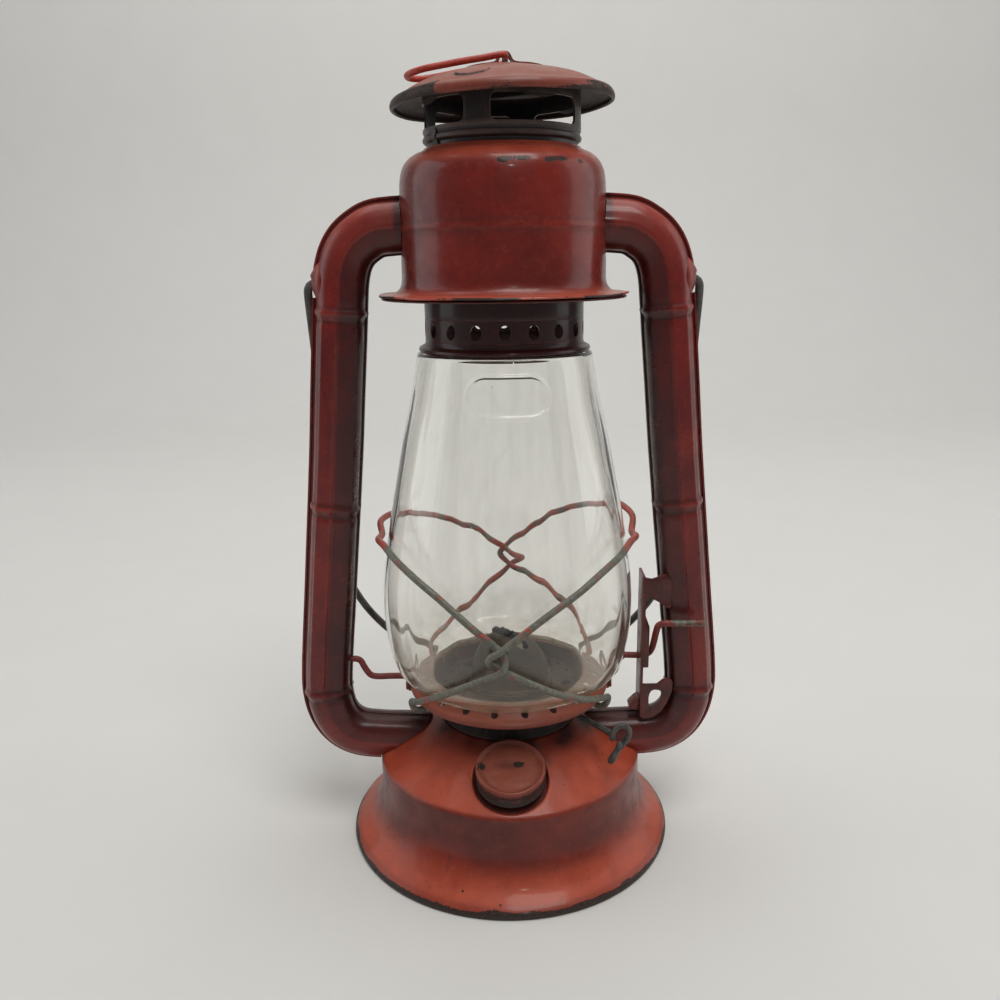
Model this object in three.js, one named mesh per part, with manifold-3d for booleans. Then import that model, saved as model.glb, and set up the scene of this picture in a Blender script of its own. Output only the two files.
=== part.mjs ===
// Cold-blast tubular oil lantern. Millimetres, +Z up, origin on the table under the middle of the base, front faces -Y.
import * as THREE from "three";
import { mergeVertices } from "three/addons/utils/BufferGeometryUtils.js";
import Module from "manifold-3d";

// ---- driving dimensions ----
const SHEET = 0.8; // painted sheet thickness
const GAP = 0.35; // gap between two pieces that meet
const SEGMENTS = 24; // facets round a big turned piece
const BASE_RADIUS = 68.3;
const WALL_RADIUS = 55.6;
const RIDGE_Z = 35.3; // where the fount wall turns into its sloping top
const TOP_RADIUS = 28.6; // inner edge of the sloping top
const TOP_Z = 52.2;
const CAP_TILT = 19; // degrees, filler cap leans to the front
const CAP_Y = -43.2;
const CAP_Z = 50.3;
const CAP_RADIUS = 13.7;
const WELL_RADIUS = 14.8;
const CHAMBER_RADIUS = 28.5;
const TUBE_HALF_WIDTH = 9.25;
const TUBE_HALF_DEPTH = 9.4;
const SEAM_OUT = 2.2;
const SEAM_IN = 0.9;
const HOOD_RADIUS = 38.3;
const HOOD_FLANGE_RADIUS = 47.5;
const CHIMNEY_RADIUS = 27.7;
const CHIMNEY_CAP_RADIUS = 40.8;
const PILLAR_AZIMUTH = -107.5; // degrees, the pillar nearest the front under the cap
const WINDOW_SPAN = 71; // degrees round the chimney
const APEX_Z = 307.4;
const GLASS = 2.2;
const PLATE_RIM_RADIUS = 41.8;
const GUARD_WIRE = 1.35; // wire radius
const LIFT_WIRE = 1.35;
const LIFT_AXIS_Z = 76.35;
const CRANK_RADIUS = 8.15;
const BAIL_WIRE = 1.65;
const BAIL_Z = 232;
const BAIL_HALF = 75.1;
const BAIL_ARM = 116; // from the pivot to the middle of the bow
const BAIL_REST = 15; // degrees behind vertical
const WICK_AZIMUTH = -45; // degrees from +X, the way the raiser shaft leaves
const SHAFT_OFFSET = 5.9;
const SHAFT_Z = 62.1; // height where it passes the burner axis
const SHAFT_DROP = 5.3; // degrees below level
const SHAFT_REACH = 56;
const SHAFT_WIRE = 1.15;

const wasm = await Module();
wasm.setup();
const rad = (d) => (d * Math.PI) / 180;
const V = (x, y, z) => new THREE.Vector3(x, y, z);

// ---- raw meshes: v is a list of points, t a list of triangles ----
function oriented(m) {
  let six = 0;
  for (const [a, b, c] of m.t)
    six += m.v[a].dot(new THREE.Vector3().crossVectors(m.v[b], m.v[c]));
  if (six < 0) m.t = m.t.map(([a, b, c]) => [a, c, b]);
  return m;
}

function revolve(profile, n = SEGMENTS, phase = 0) {
  const v = [],
    t = [],
    ring = profile.map(([r, z]) => {
      if (r < 1e-9) {
        v.push(V(0, 0, z));
        return new Array(n).fill(v.length - 1);
      }
      const ids = [];
      for (let j = 0; j < n; j++) {
        const a = phase + (j * 2 * Math.PI) / n;
        v.push(V(r * Math.cos(a), r * Math.sin(a), z));
        ids.push(v.length - 1);
      }
      return ids;
    });
  for (let i = 0; i < profile.length; i++) {
    const k = (i + 1) % profile.length;
    if (profile[i][0] < 1e-9 && profile[k][0] < 1e-9) continue;
    for (let j = 0; j < n; j++) {
      const l = (j + 1) % n,
        [a, b, c, d] = [ring[i][j], ring[k][j], ring[k][l], ring[i][l]];
      if (a !== d) t.push([a, d, c]);
      if (b !== c) t.push([a, c, b]);
    }
  }
  return oriented({ v, t });
}

// Straight prism on a polygon in X-Y between two heights, with optional holes.
function prism(polygon, z0, z1) {
  const pts = polygon.map(([x, y]) => new THREE.Vector2(x, y)),
    faces = THREE.ShapeUtils.triangulateShape(pts, []),
    n = pts.length,
    v = [],
    t = [];
  for (const z of [z0, z1]) for (const p of pts) v.push(V(p.x, p.y, z));
  for (const [a, b, c] of faces) t.push([a, c, b], [a + n, b + n, c + n]);
  const ccw = !THREE.ShapeUtils.isClockWise(pts);
  for (let i = 0; i < n; i++) {
    const k = (i + 1) % n;
    if (ccw) t.push([i, k, k + n], [i, k + n, i + n]);
    else t.push([k, i, i + n], [k, i + n, k + n]);
  }
  // triangulateShape keeps the winding of the outline it is given
  if (!ccw)
    for (let i = 0; i < 2 * faces.length; i++) {
      const [a, b, c] = t[i];
      t[i] = [a, b, c];
    }
  return { v, t };
}

const box = (x0, x1, y0, y1, z0, z1) =>
  prism(
    [
      [x0, y0],
      [x1, y0],
      [x1, y1],
      [x0, y1],
    ],
    z0,
    z1,
  );

function circle(r, n, squash = 1) {
  return Array.from({ length: n }, (_, i) => [
    r * Math.cos((i * 2 * Math.PI) / n),
    squash * r * Math.sin((i * 2 * Math.PI) / n),
  ]);
}

const moved = (m, matrix) => ({
  v: m.v.map((p) => p.clone().applyMatrix4(matrix)),
  t: matrix.determinant() < 0 ? m.t.map(([a, b, c]) => [a, c, b]) : m.t,
});
const T = (x, y, z) => new THREE.Matrix4().makeTranslation(x, y, z);
const RX = (d) => new THREE.Matrix4().makeRotationX(rad(d));
const RY = (d) => new THREE.Matrix4().makeRotationY(rad(d));
const RZ = (d) => new THREE.Matrix4().makeRotationZ(rad(d));
const M = (...list) =>
  list.reduce((a, b) => a.multiply(b), new THREE.Matrix4());
// Cylinder from a to b.
function rod(a, b, r, n = 10) {
  const d = b.clone().sub(a),
    q = new THREE.Quaternion().setFromUnitVectors(
      V(0, 0, 1),
      d.clone().normalize(),
    ),
    m = new THREE.Matrix4().compose(a, q, V(1, 1, 1));
  return moved(prism(circle(r, n), 0, d.length()), m);
}

// Sweeps a convex or concave section along points; frames are carried without twist unless `up` fixes them.
function sweep(path, section, { closed = false, up = null, scale = null } = {}) {
  const n = section.length,
    count = path.length,
    v = [],
    t = [];
  const tangent = (i) => {
    const a = closed ? path[(i + count - 1) % count] : path[Math.max(0, i - 1)],
      b = closed ? path[(i + 1) % count] : path[Math.min(count - 1, i + 1)];
    const inn = path[i].clone().sub(a),
      out = b.clone().sub(path[i]);
    if (inn.lengthSq() > 0) inn.normalize();
    if (out.lengthSq() > 0) out.normalize();
    return inn.add(out).normalize();
  };
  let side = null,
    prev = null;
  const frames = [];
  for (let i = 0; i < count; i++) {
    const tan = tangent(i);
    if (up) side = new THREE.Vector3().crossVectors(tan, up).normalize();
    else if (!side) {
      const ref = Math.abs(tan.z) < 0.9 ? V(0, 0, 1) : V(1, 0, 0);
      side = new THREE.Vector3().crossVectors(tan, ref).normalize();
    } else {
      const q = new THREE.Quaternion().setFromUnitVectors(prev, tan);
      side = side.clone().applyQuaternion(q);
      side.sub(tan.clone().multiplyScalar(side.dot(tan))).normalize();
    }
    prev = tan;
    frames.push([tan, side.clone(), new THREE.Vector3().crossVectors(side, tan)]);
  }
  if (closed && !up) {
    // spread the leftover twist
    const last = frames[count - 1],
      q = new THREE.Quaternion().setFromUnitVectors(last[0], frames[0][0]),
      s = last[1].clone().applyQuaternion(q),
      f = frames[0];
    const twist = Math.atan2(s.dot(f[2]), s.dot(f[1]));
    frames.forEach((fr, i) => {
      const a = (twist * i) / count * -1,
        c = Math.cos(a),
        si = Math.sin(a);
      const s1 = fr[1].clone().multiplyScalar(c).addScaledVector(fr[2], si);
      fr[2] = fr[2].clone().multiplyScalar(c).addScaledVector(fr[1], -si);
      fr[1] = s1;
    });
  }
  frames.forEach(([, s, w], i) => {
    const k = scale ? scale(i) : 1;
    for (const [x, y] of section)
      v.push(
        path[i].clone().addScaledVector(s, x * k).addScaledVector(w, y * k),
      );
  });
  const rings = closed ? count : count - 1;
  for (let i = 0; i < rings; i++)
    for (let j = 0; j < n; j++) {
      const l = (j + 1) % n,
        m = (i + 1) % count;
      t.push([i * n + j, i * n + l, m * n + l], [i * n + j, m * n + l, m * n + j]);
    }
  if (!closed) {
    const faces = THREE.ShapeUtils.triangulateShape(
      section.map(([x, y]) => new THREE.Vector2(x, y)),
      [],
    );
    const cw = THREE.ShapeUtils.isClockWise(
      section.map(([x, y]) => new THREE.Vector2(x, y)),
    );
    const o = (count - 1) * n;
    for (const [a, b, c] of faces) {
      if (cw) t.push([a, b, c], [a + o, c + o, b + o]);
      else t.push([a, c, b], [a + o, b + o, c + o]);
    }
  }
  return oriented({ v, t });
}

function curve(points, divisions) {
  const c = new THREE.CatmullRomCurve3(
    points.map((p) => V(...p)),
    false,
    "centripetal",
  );
  return c.getSpacedPoints(divisions);
}

function solid(m) {
  const g = new THREE.BufferGeometry();
  const flat = new Float32Array(m.t.length * 9);
  m.t.forEach((tri, i) =>
    tri.forEach((k, j) => m.v[k].toArray(flat, i * 9 + j * 3)),
  );
  g.setAttribute("position", new THREE.BufferAttribute(flat, 3));
  const w = mergeVertices(g, 1e-4),
    tri = [];
  for (let i = 0; i < w.index.count; i += 3) {
    const [a, b, c] = [0, 1, 2].map((k) => w.index.getX(i + k));
    if (a !== b && b !== c && a !== c) tri.push(a, b, c);
  }
  return new wasm.Manifold(
    new wasm.Mesh({
      numProp: 3,
      vertProperties: w.attributes.position.array,
      triVerts: new Uint32Array(tri),
    }),
  );
}
const join = (...list) => list.reduce((a, b) => a.add(b));
const cut = (a, ...list) => list.reduce((s, b) => s.subtract(b), a);

const root = new THREE.Group();
root.name = "oil_lantern";
function node(name, body, color, extra = {}) {
  const m = body.getMesh(),
    n = m.numProp,
    v = new Float32Array(m.numVert * 3);
  for (let i = 0; i < m.numVert; i++)
    v.set(m.vertProperties.subarray(i * n, i * n + 3), i * 3);
  const g = new THREE.BufferGeometry()
    .setAttribute("position", new THREE.BufferAttribute(v, 3))
    .setIndex(new THREE.BufferAttribute(new Uint32Array(m.triVerts), 1));
  const flat = g.toNonIndexed();
  flat.computeVertexNormals();
  const mesh = new THREE.Mesh(
    flat,
    new THREE.MeshStandardMaterial({ color, roughness: 0.45, ...extra }),
  );
  mesh.name = name;
  root.add(mesh);
}
const RED = 0x8c2318,
  ORANGE = 0xb5482c,
  DARK = 0x2a1a16,
  STEEL = 0x6d6f66,
  BLACK = 0x1c1b1a,
  BRASS = 0x8a6f3c;

// ---- fount ----
const fountOuter = [
  [66.3, 0],
  [67.5, 0],
  [BASE_RADIUS, 1.2],
  [67.9, 2.8],
  [65.2, 5],
  [61.4, 8.4],
  [58.4, 13.2],
  [56.1, 18.5],
  [WALL_RADIUS, 22],
  [WALL_RADIUS, 34.2],
  [55.2, RIDGE_Z],
  [54.4, 35.9],
  [29.4, 51.9],
  [TOP_RADIUS, TOP_Z],
  [24, TOP_Z],
];
const fountInner = [
  [24, 51.3],
  [28.3, 51.3],
  [54, 34.9],
  [54.75, 34.2],
  [54.75, 22],
  [55.4, 18],
  [57.6, 12.8],
  [60.7, 7.8],
  [64.7, 4.2],
  [67, 2],
  [66.3, 0.9],
];
const capFrame = M(T(0, CAP_Y, CAP_Z), RX(CAP_TILT));
const well = solid(
  moved(revolve([[0, -11.4], [WELL_RADIUS, -11.4], [WELL_RADIUS, 9], [0, 9]], 20), capFrame),
);

// Tube centreline, right side, from the hood down to the fount: x, z.
const TUBE_LINE = [
  [34, 252.2],
  [41, 251.9],
  [48, 251],
  [52.6, 248.6],
  [56.6, 245.2],
  [59.2, 241],
  [60.8, 236],
  [61.6, 231],
  [62.1, 225],
  [63.35, 210],
  [65.1, 190],
  [66.8, 170],
  [68.75, 150],
  [70.8, 130],
  [73.45, 104],
  [75.35, 86],
  [76.65, 72],
  [77.0, 63.5],
  [76.2, 57],
  [74.5, 51.6],
  [71.9, 47.3],
  [68.4, 44.2],
  [63.8, 42.2],
  [56, 41.2],
  [46, 40.7],
  [34, 40.5],
];
const tubeCurve = new THREE.CatmullRomCurve3(
  TUBE_LINE.map(([x, z]) => V(x, 0, z)),
  false,
  "centripetal",
);
// Stations: dense on the bends, sparse on the straight run.
function stations() {
  const all = tubeCurve.getSpacedPoints(700);
  const length = tubeCurve.getLength();
  const picks = [];
  const add = (s, k = 1) => picks.push([s, k]);
  const sAt = (z, from, to) => {
    let best = 0,
      gap = 1e9;
    all.forEach((p, i) => {
      const s = (i / 700) * length;
      if (p.x > from && p.x < to && Math.abs(p.z - z) < gap) {
        gap = Math.abs(p.z - z);
        best = s;
      }
    });
    return best;
  };
  [0, 9, 15, 20, 25, 30, 38].forEach((s) => add(s));
  for (const z of [185, 140, 104, 72]) add(sAt(z, 50, 90));
  const low = sAt(63.5, 70, 90);
  [0, 6, 11, 16, 21, 27].forEach((d) => add(low + d));
  add(length);
  picks.sort((a, b) => a[0] - b[0]);
  return picks.map(([s, k]) => ({
    p: tubeCurve.getPointAt(Math.min(1, s / length)),
    k,
  }));
}
const STATIONS = stations();

function halfSection(front) {
  const s = [],
    g = 0.15,
    a0 = 10,
    n = 6;
  s.push([TUBE_HALF_WIDTH + SEAM_OUT, -g], [TUBE_HALF_WIDTH + SEAM_OUT, -g - SHEET]);
  for (let i = 0; i < n; i++) {
    const a = rad(a0 + ((180 - 2 * a0) * i) / (n - 1));
    s.push([TUBE_HALF_WIDTH * Math.cos(a), -TUBE_HALF_DEPTH * Math.sin(a)]);
  }
  s.push([-TUBE_HALF_WIDTH - SEAM_IN, -g - SHEET], [-TUBE_HALF_WIDTH - SEAM_IN, -g]);
  s.push([-TUBE_HALF_WIDTH + SHEET, -g]);
  for (let i = n - 2; i > 0; i--) {
    const a = rad(a0 + ((180 - 2 * a0) * i) / (n - 1));
    s.push([
      (TUBE_HALF_WIDTH - SHEET) * Math.cos(a),
      -(TUBE_HALF_DEPTH - SHEET) * Math.sin(a),
    ]);
  }
  s.push([TUBE_HALF_WIDTH - SHEET, -g]);
  return front ? s : s.map(([x, y]) => [x, -y]);
}

// u points away from the lantern's middle on the straight run; the path runs from the top down.
function tubeHalf(side, front) {
  const path = STATIONS.map(({ p }) => V(p.x, 0, p.z)),
    section = halfSection(front),
    m = sweep(path, section.map(([x, y]) => [x, y]), {
      up: V(0, 1, 0),
      scale: (i) => STATIONS[i].k,
    });
  // the frame's side is tangent x Y; turn it so that u faces outwards
  return side > 0 ? m : moved(m, new THREE.Matrix4().makeScale(-1, 1, 1));
}
{
  // check the frame's sense once: side must point outwards (+X) where the path runs down
  const s = new THREE.Vector3().crossVectors(V(0, 0, -1), V(0, 1, 0));
  if (s.x < 0) throw new Error("tube frame is turned");
}
const lumen = (side, from, to) => {
  const path = STATIONS.slice(from, to).map(({ p }) => V(p.x, 0, p.z));
  const m = sweep(
    path,
    circle(TUBE_HALF_WIDTH - 1.3, 8).map(([x, y]) => [x, y]),
    { up: V(0, 1, 0) },
  );
  return solid(side > 0 ? m : moved(m, new THREE.Matrix4().makeScale(-1, 1, 1)));
};
const LAST = STATIONS.length;

const fountEnvelope = solid(
  revolve([
    [0, 29],
    [56, 29],
    [56, 34.5],
    [55.6, 35.7],
    [54.7, 36.35],
    [29.7, 52.45],
    [28.9, 60],
    [0, 60],
  ]),
);
const hoodEnvelope = solid(
  revolve([
    [0, 234],
    [39.1, 234],
    [38.95, 247],
    [38.75, 265],
    [38.4, 269.7],
    [0, 275],
  ]),
);

const shellRaw = solid(revolve([...fountOuter, ...fountInner]));
node(
  "fount_shell",
  cut(shellRaw, well, lumen(1, LAST - 2, LAST), lumen(-1, LAST - 2, LAST)),
  ORANGE,
);
node(
  "fount_floor",
  solid(
    revolve([
      [0, 4.4],
      [57.5, 4.4],
      [61, 2.6],
      [63.6, 0.4],
      [65.9, 0.4],
      [65.9, 1.6],
      [64.1, 1.6],
      [61.5, 3.6],
      [58, 5.4],
      [0, 5.4],
    ]),
  ),
  RED,
);
const neckHole = solid(
  moved(revolve([[0, -30], [11.8, -30], [11.8, -12.5], [0, -12.5]], 12), capFrame),
);
node(
  "fount_deck",
  cut(
    solid(
      revolve([
        [16.3, 31.2],
        [54.4, 31.2],
        [54.4, 32],
        [16.3, 32],
      ]),
    ),
    neckHole,
  ),
  RED,
);
// neck with its seat; the well wall is trimmed to the slope of the fount's top
const neckTube = solid(
  moved(
    revolve(
      [
        [10.2, -27],
        [11.4, -27],
        [11.4, -3],
        [10.2, -3],
      ],
      18,
    ),
    capFrame,
  ),
);
const wellWall = solid(
  moved(
    revolve(
      [
        [10.8, -10.9],
        [14.45, -10.9],
        [14.45, -1],
        [13.95, -1],
        [13.95, -10.1],
        [10.8, -10.1],
      ],
      20,
    ),
    capFrame,
  ),
);
const underSlope = solid(
  revolve([
    [0, 20],
    [54.4, 20],
    [54.4, 35.9],
    [29.4, 51.9],
    [0, 70],
  ]),
);
node("filler_neck", join(neckTube, wellWall.intersect(underSlope)), RED);
node(
  "filler_cap",
  solid(
    moved(
      revolve(
        [
          [0, -1.2],
          [12.6, -1.2],
          [12.6, -8],
          [CAP_RADIUS, -8],
          [CAP_RADIUS, -5.6],
          [13.4, -5.2],
          [13.4, -0.9],
          [12.8, 0],
          [0, 0],
        ],
        24,
      ),
      capFrame,
    ),
  ),
  ORANGE,
);
node(
  "cap_gasket",
  solid(
    moved(
      revolve(
        [
          [7, -2.7],
          [12.2, -2.7],
          [12.2, -1.5],
          [7, -1.5],
        ],
        16,
      ),
      capFrame,
    ),
  ),
  0x3a3028,
);

// ---- burner ----
const wickFrame = RZ(WICK_AZIMUTH); // local x along the wick's width and the shaft
node(
  "burner_collar",
  solid(
    revolve(
      [
        [12.7, 28.5],
        [15.9, 28.5],
        [15.9, 32.35],
        [18.5, 32.35],
        [18.5, 33.15],
        [15.9, 33.15],
        [15.9, 37],
        [12.7, 37],
      ],
      20,
    ),
  ),
  BRASS,
);
const tubeHole = (w, d, z0, z1) =>
  solid(moved(box(-w / 2, w / 2, -d / 2, d / 2, z0, z1), wickFrame));
node(
  "burner_base",
  cut(
    solid(
      revolve(
        [
          [11.3, 27],
          [12.35, 27],
          [12.35, 37.4],
          [17.2, 37.4],
          [17.2, 38.4],
          [13.6, 38.4],
          [13.6, 46.8],
          [16.9, 50.2],
          [0, 50.2],
          [0, 49.3],
          [14.8, 49.3],
          [12.7, 47.2],
          [12.7, 38.3],
        ],
        20,
      ),
    ),
    tubeHole(18.7, 5.7, 45, 55),
  ),
  BRASS,
);
const shaftDir = V(Math.cos(rad(SHAFT_DROP)), 0, -Math.sin(rad(SHAFT_DROP)));
const shaftAt = (s) =>
  V(0, SHAFT_OFFSET, SHAFT_Z).addScaledVector(shaftDir, s).applyMatrix4(wickFrame);
const galleryHoles = [];
for (let i = 0; i < 8; i++)
  galleryHoles.push(
    solid(
      moved(
        rod(V(14, 0, 54.4), V(19, 0, 54.4), 1.9, 5),
        RZ(i * 45),
      ),
    ),
  );
node(
  "burner_gallery",
  cut(
    solid(
      revolve(
        [
          [13, 50.6],
          [16.8, 50.6],
          [16.8, 66],
          [16, 66],
          [16, 51.4],
          [13, 51.4],
        ],
        20,
      ),
    ),
    solid(rod(shaftAt(8), shaftAt(24), SHAFT_WIRE + 0.5, 8)),
    ...galleryHoles,
  ),
  DARK,
);
node(
  "wick_tube",
  cut(
    solid(moved(box(-9, 9, -2.5, 2.5, 22, 81.5), wickFrame)),
    solid(moved(box(-8.3, 8.3, -1.8, 1.8, 20, 83), wickFrame)),
    solid(moved(box(-7, 7, 1.2, 4, 55.5, 69), wickFrame)),
  ),
  BRASS,
);
const coneOuter = [
    [16.6, 66.4],
    [16.6, 67.4],
    [15.9, 68],
    [15.8, 72],
    [13.6, 79.2],
    [9.6, 84],
    [4, 86.6],
    [0, 87.1],
  ],
  coneInner = [
    [0, 86.3],
    [3.8, 85.8],
    [9.1, 83.3],
    [12.9, 78.8],
    [15, 72],
    [15.1, 66.4],
  ];
node(
  "burner_cone",
  cut(
    solid(revolve([...coneOuter, ...coneInner], 20)),
    solid(moved(box(-10.6, 10.6, -2.9, 2.9, 76.5, 92), wickFrame)),
  ),
  DARK,
);
node(
  "wick",
  solid(moved(box(-7.9, 7.9, -1.25, 1.25, 12, 89.6), wickFrame)),
  0xd8cdb6,
);
{
  const end = shaftAt(SHAFT_REACH),
    x = shaftAt(1).sub(shaftAt(0)).normalize(),
    q = new THREE.Matrix4().makeBasis(
      x,
      V(0, 0, 1).cross(x).normalize(),
      x.clone().cross(V(0, 0, 1).cross(x)).normalize(),
    ),
    place = M(T(end.x, end.y, end.z), q);
  // two eyes of one wire, one above and one below the shaft, in the plane across it
  const eye = (dy, dz, ry, rz) =>
    solid(
      moved(
        sweep(
          Array.from({ length: 12 }, (_, i) => {
            const a = (i * 2 * Math.PI) / 12;
            return V(0, dy + ry * Math.cos(a), dz + rz * Math.sin(a));
          }),
          circle(SHAFT_WIRE, 5),
          { closed: true },
        ),
        place,
      ),
    );
  node(
    "wick_shaft",
    join(
      solid(rod(shaftAt(-9), shaftAt(SHAFT_REACH + 0.4), SHAFT_WIRE, 8)),
      eye(1.0, 4.3, 3.3, 3.7),
      eye(-1.0, -4.3, 3.3, 3.7),
    ),
    BLACK,
  );
}
const spur = (s) => {
  const star = [];
  for (let i = 0; i < 16; i++) {
    const r = i % 2 ? 3.3 : 4.25,
      a = (i * 2 * Math.PI) / 16;
    star.push([r * Math.cos(a), r * Math.sin(a)]);
  }
  const m = new THREE.Matrix4().compose(
    shaftAt(s),
    new THREE.Quaternion().setFromUnitVectors(
      V(0, 0, 1),
      shaftAt(1).sub(shaftAt(0)).normalize(),
    ),
    V(1, 1, 1),
  );
  return cut(
    solid(moved(prism(star, -0.6, 0.6), m)),
    solid(moved(prism(circle(SHAFT_WIRE + 0.3, 10), -2, 2), m)),
  );
};
node("spur_wheel_a", spur(-4), BRASS);
node("spur_wheel_b", spur(4), BRASS);

// ---- air chamber ring on the fount, under the globe plate ----
node(
  "air_chamber_ring",
  cut(
    solid(
      revolve([
        [24.5, 52.55],
        [CHAMBER_RADIUS, 52.55],
        [CHAMBER_RADIUS, 62.65],
        [CHAMBER_RADIUS - SHEET, 62.65],
        [CHAMBER_RADIUS - SHEET, 53.35],
        [24.5, 53.35],
      ]),
    ),
    solid(
      moved(
        box(20, 34, SHAFT_OFFSET - 2.4, SHAFT_OFFSET + 2.4, 57, 66),
        wickFrame,
      ),
    ),
  ),
  DARK,
);

// ---- tubes ----
for (const [side, word] of [
  [-1, "left"],
  [1, "right"],
])
  for (const front of [true, false]) {
    let body = cut(
      solid(tubeHalf(side, front)),
      fountEnvelope,
      hoodEnvelope,
      // room for the bail ear on the outer seam
      solid(
        rod(V(side * 70.25, 0, BAIL_Z), V(side * 80, 0, BAIL_Z), 5.7, 16),
      ),
    );
    if (side < 0)
      body = cut(
        body,
        solid(rod(V(-63, 0, LIFT_AXIS_Z), V(-70.5, 0, LIFT_AXIS_Z), LIFT_WIRE + 0.4, 12)),
      );
    node(word + "_tube_" + (front ? "front" : "rear"), body, RED);
  }
for (const [side, word] of [
  [-1, "left"],
  [1, "right"],
]) {
  const m = moved(
    revolve(
      [
        [2.05, 70.6],
        [5.2, 70.6],
        [4.9, 71.3],
        [3.9, 72.2],
        [2.7, 72.8],
        [2.05, 72.8],
      ],
      14,
    ),
    M(T(0, 0, BAIL_Z), RY(90)),
  );
  node(
    word + "_bail_ear",
    solid(side > 0 ? m : moved(m, new THREE.Matrix4().makeScale(-1, 1, 1))),
    RED,
  );
}

// ---- hood ----
node(
  "hood_shell",
  cut(
    solid(
      revolve([
        [43, 226.8],
        [HOOD_FLANGE_RADIUS, 226.8],
        [HOOD_FLANGE_RADIUS, 227.6],
        [42, 227.9],
        [39.2, 230],
        [38.6, 234],
        [HOOD_RADIUS, 250.5],
        [HOOD_RADIUS, 264.6],
        [37.8, 270.2],
        [36, 274.4],
        [32.6, 277],
        [29.4, 278.4],
        [28.9, 279],
        [28.1, 279],
        [28.1, 277.6],
        [32.1, 276.2],
        [35.3, 273.8],
        [37, 270],
        [37.5, 264.5],
        [37.5, 250.5],
        [37.8, 234],
        [38.4, 229.7],
      ]),
    ),
    lumen(1, 0, 2),
    lumen(-1, 0, 2),
  ),
  ORANGE,
);
node(
  "hood_floor",
  solid(
    revolve([
      [34.4, 225.6],
      [46.9, 225.6],
      [46.9, 226.4],
      [35.2, 226.4],
      [35.2, 229.5],
      [34.4, 229.5],
    ]),
  ),
  RED,
);

// ---- chimney ----
const windows = [];
for (let i = 0; i < 4; i++) {
  // four wide windows with a narrow pillar between each two; one pillar stands a little left of the front
  const a = rad(PILLAR_AZIMUTH + 45 + i * 90),
    h = rad(WINDOW_SPAN / 2),
    at = (r, b) => [r * Math.cos(b), r * Math.sin(b)];
  windows.push(
    solid(
      prism(
        [at(20, a - h), at(34, a - h), at(42, a), at(34, a + h), at(20, a + h)],
        285.3,
        294.2,
      ),
    ),
  );
}
node(
  "chimney_tube",
  cut(
    solid(
      revolve([
        [26.9, 226],
        [CHIMNEY_RADIUS, 226],
        [CHIMNEY_RADIUS, 280.9],
        [28.9, 281.5],
        [28.8, 300.4],
        [28, 300.4],
        [28, 282.2],
        [26.9, 281.5],
      ]),
    ),
    ...windows,
  ),
  DARK,
);
node(
  "chimney_cap",
  solid(
    revolve([
      [40, 293.3],
      [CHIMNEY_CAP_RADIUS, 294.2],
      [40.7, 295.3],
      [39.9, 296.5],
      [38.2, 297.5],
      [34.3, 299.6],
      [26.6, 302.7],
      [15, 305.6],
      [8, 306.9],
      [0, APEX_Z],
      [0, APEX_Z - 0.9],
      [8, 306.1],
      [14.8, 304.8],
      [26.3, 301.9],
      [33.9, 298.8],
      [37.9, 296.7],
      [39.2, 295.7],
      [39.4, 294.2],
    ]),
  ),
  ORANGE,
);
const bellHoles = [];
for (let i = 0; i < 18; i++)
  bellHoles.push(
    solid(moved(rod(V(28, 0, 214.6), V(33, 0, 214.6), 2.6, 4), RZ(i * 20 + 10))),
  );
node(
  "globe_holder_bell",
  cut(
    solid(
      revolve([
        [29.7, 203.6],
        [30.5, 203.6],
        [30.5, 206.3],
        [32.6, 206.1],
        [33.2, 207.1],
        [32.5, 208.1],
        [30.5, 209.1],
        [30.5, 229.2],
        [30, 230.1],
        [28.1, 230.4],
        [28.1, 229.6],
        [29.7, 229.2],
      ]),
    ),
    ...bellHoles,
  ),
  RED,
);
{
  const pts = [],
    turns = 3.5,
    per = 14;
  for (let i = 0; i <= turns * per; i++) {
    const a = (i * 2 * Math.PI) / per,
      f = i / (turns * per);
    pts.push(V(29.8 * Math.cos(a), 29.8 * Math.sin(a), 231.6 + f * (275.2 - 231.6)));
  }
  node("chimney_spring", solid(sweep(pts, circle(0.75, 4))), STEEL);
}
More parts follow.
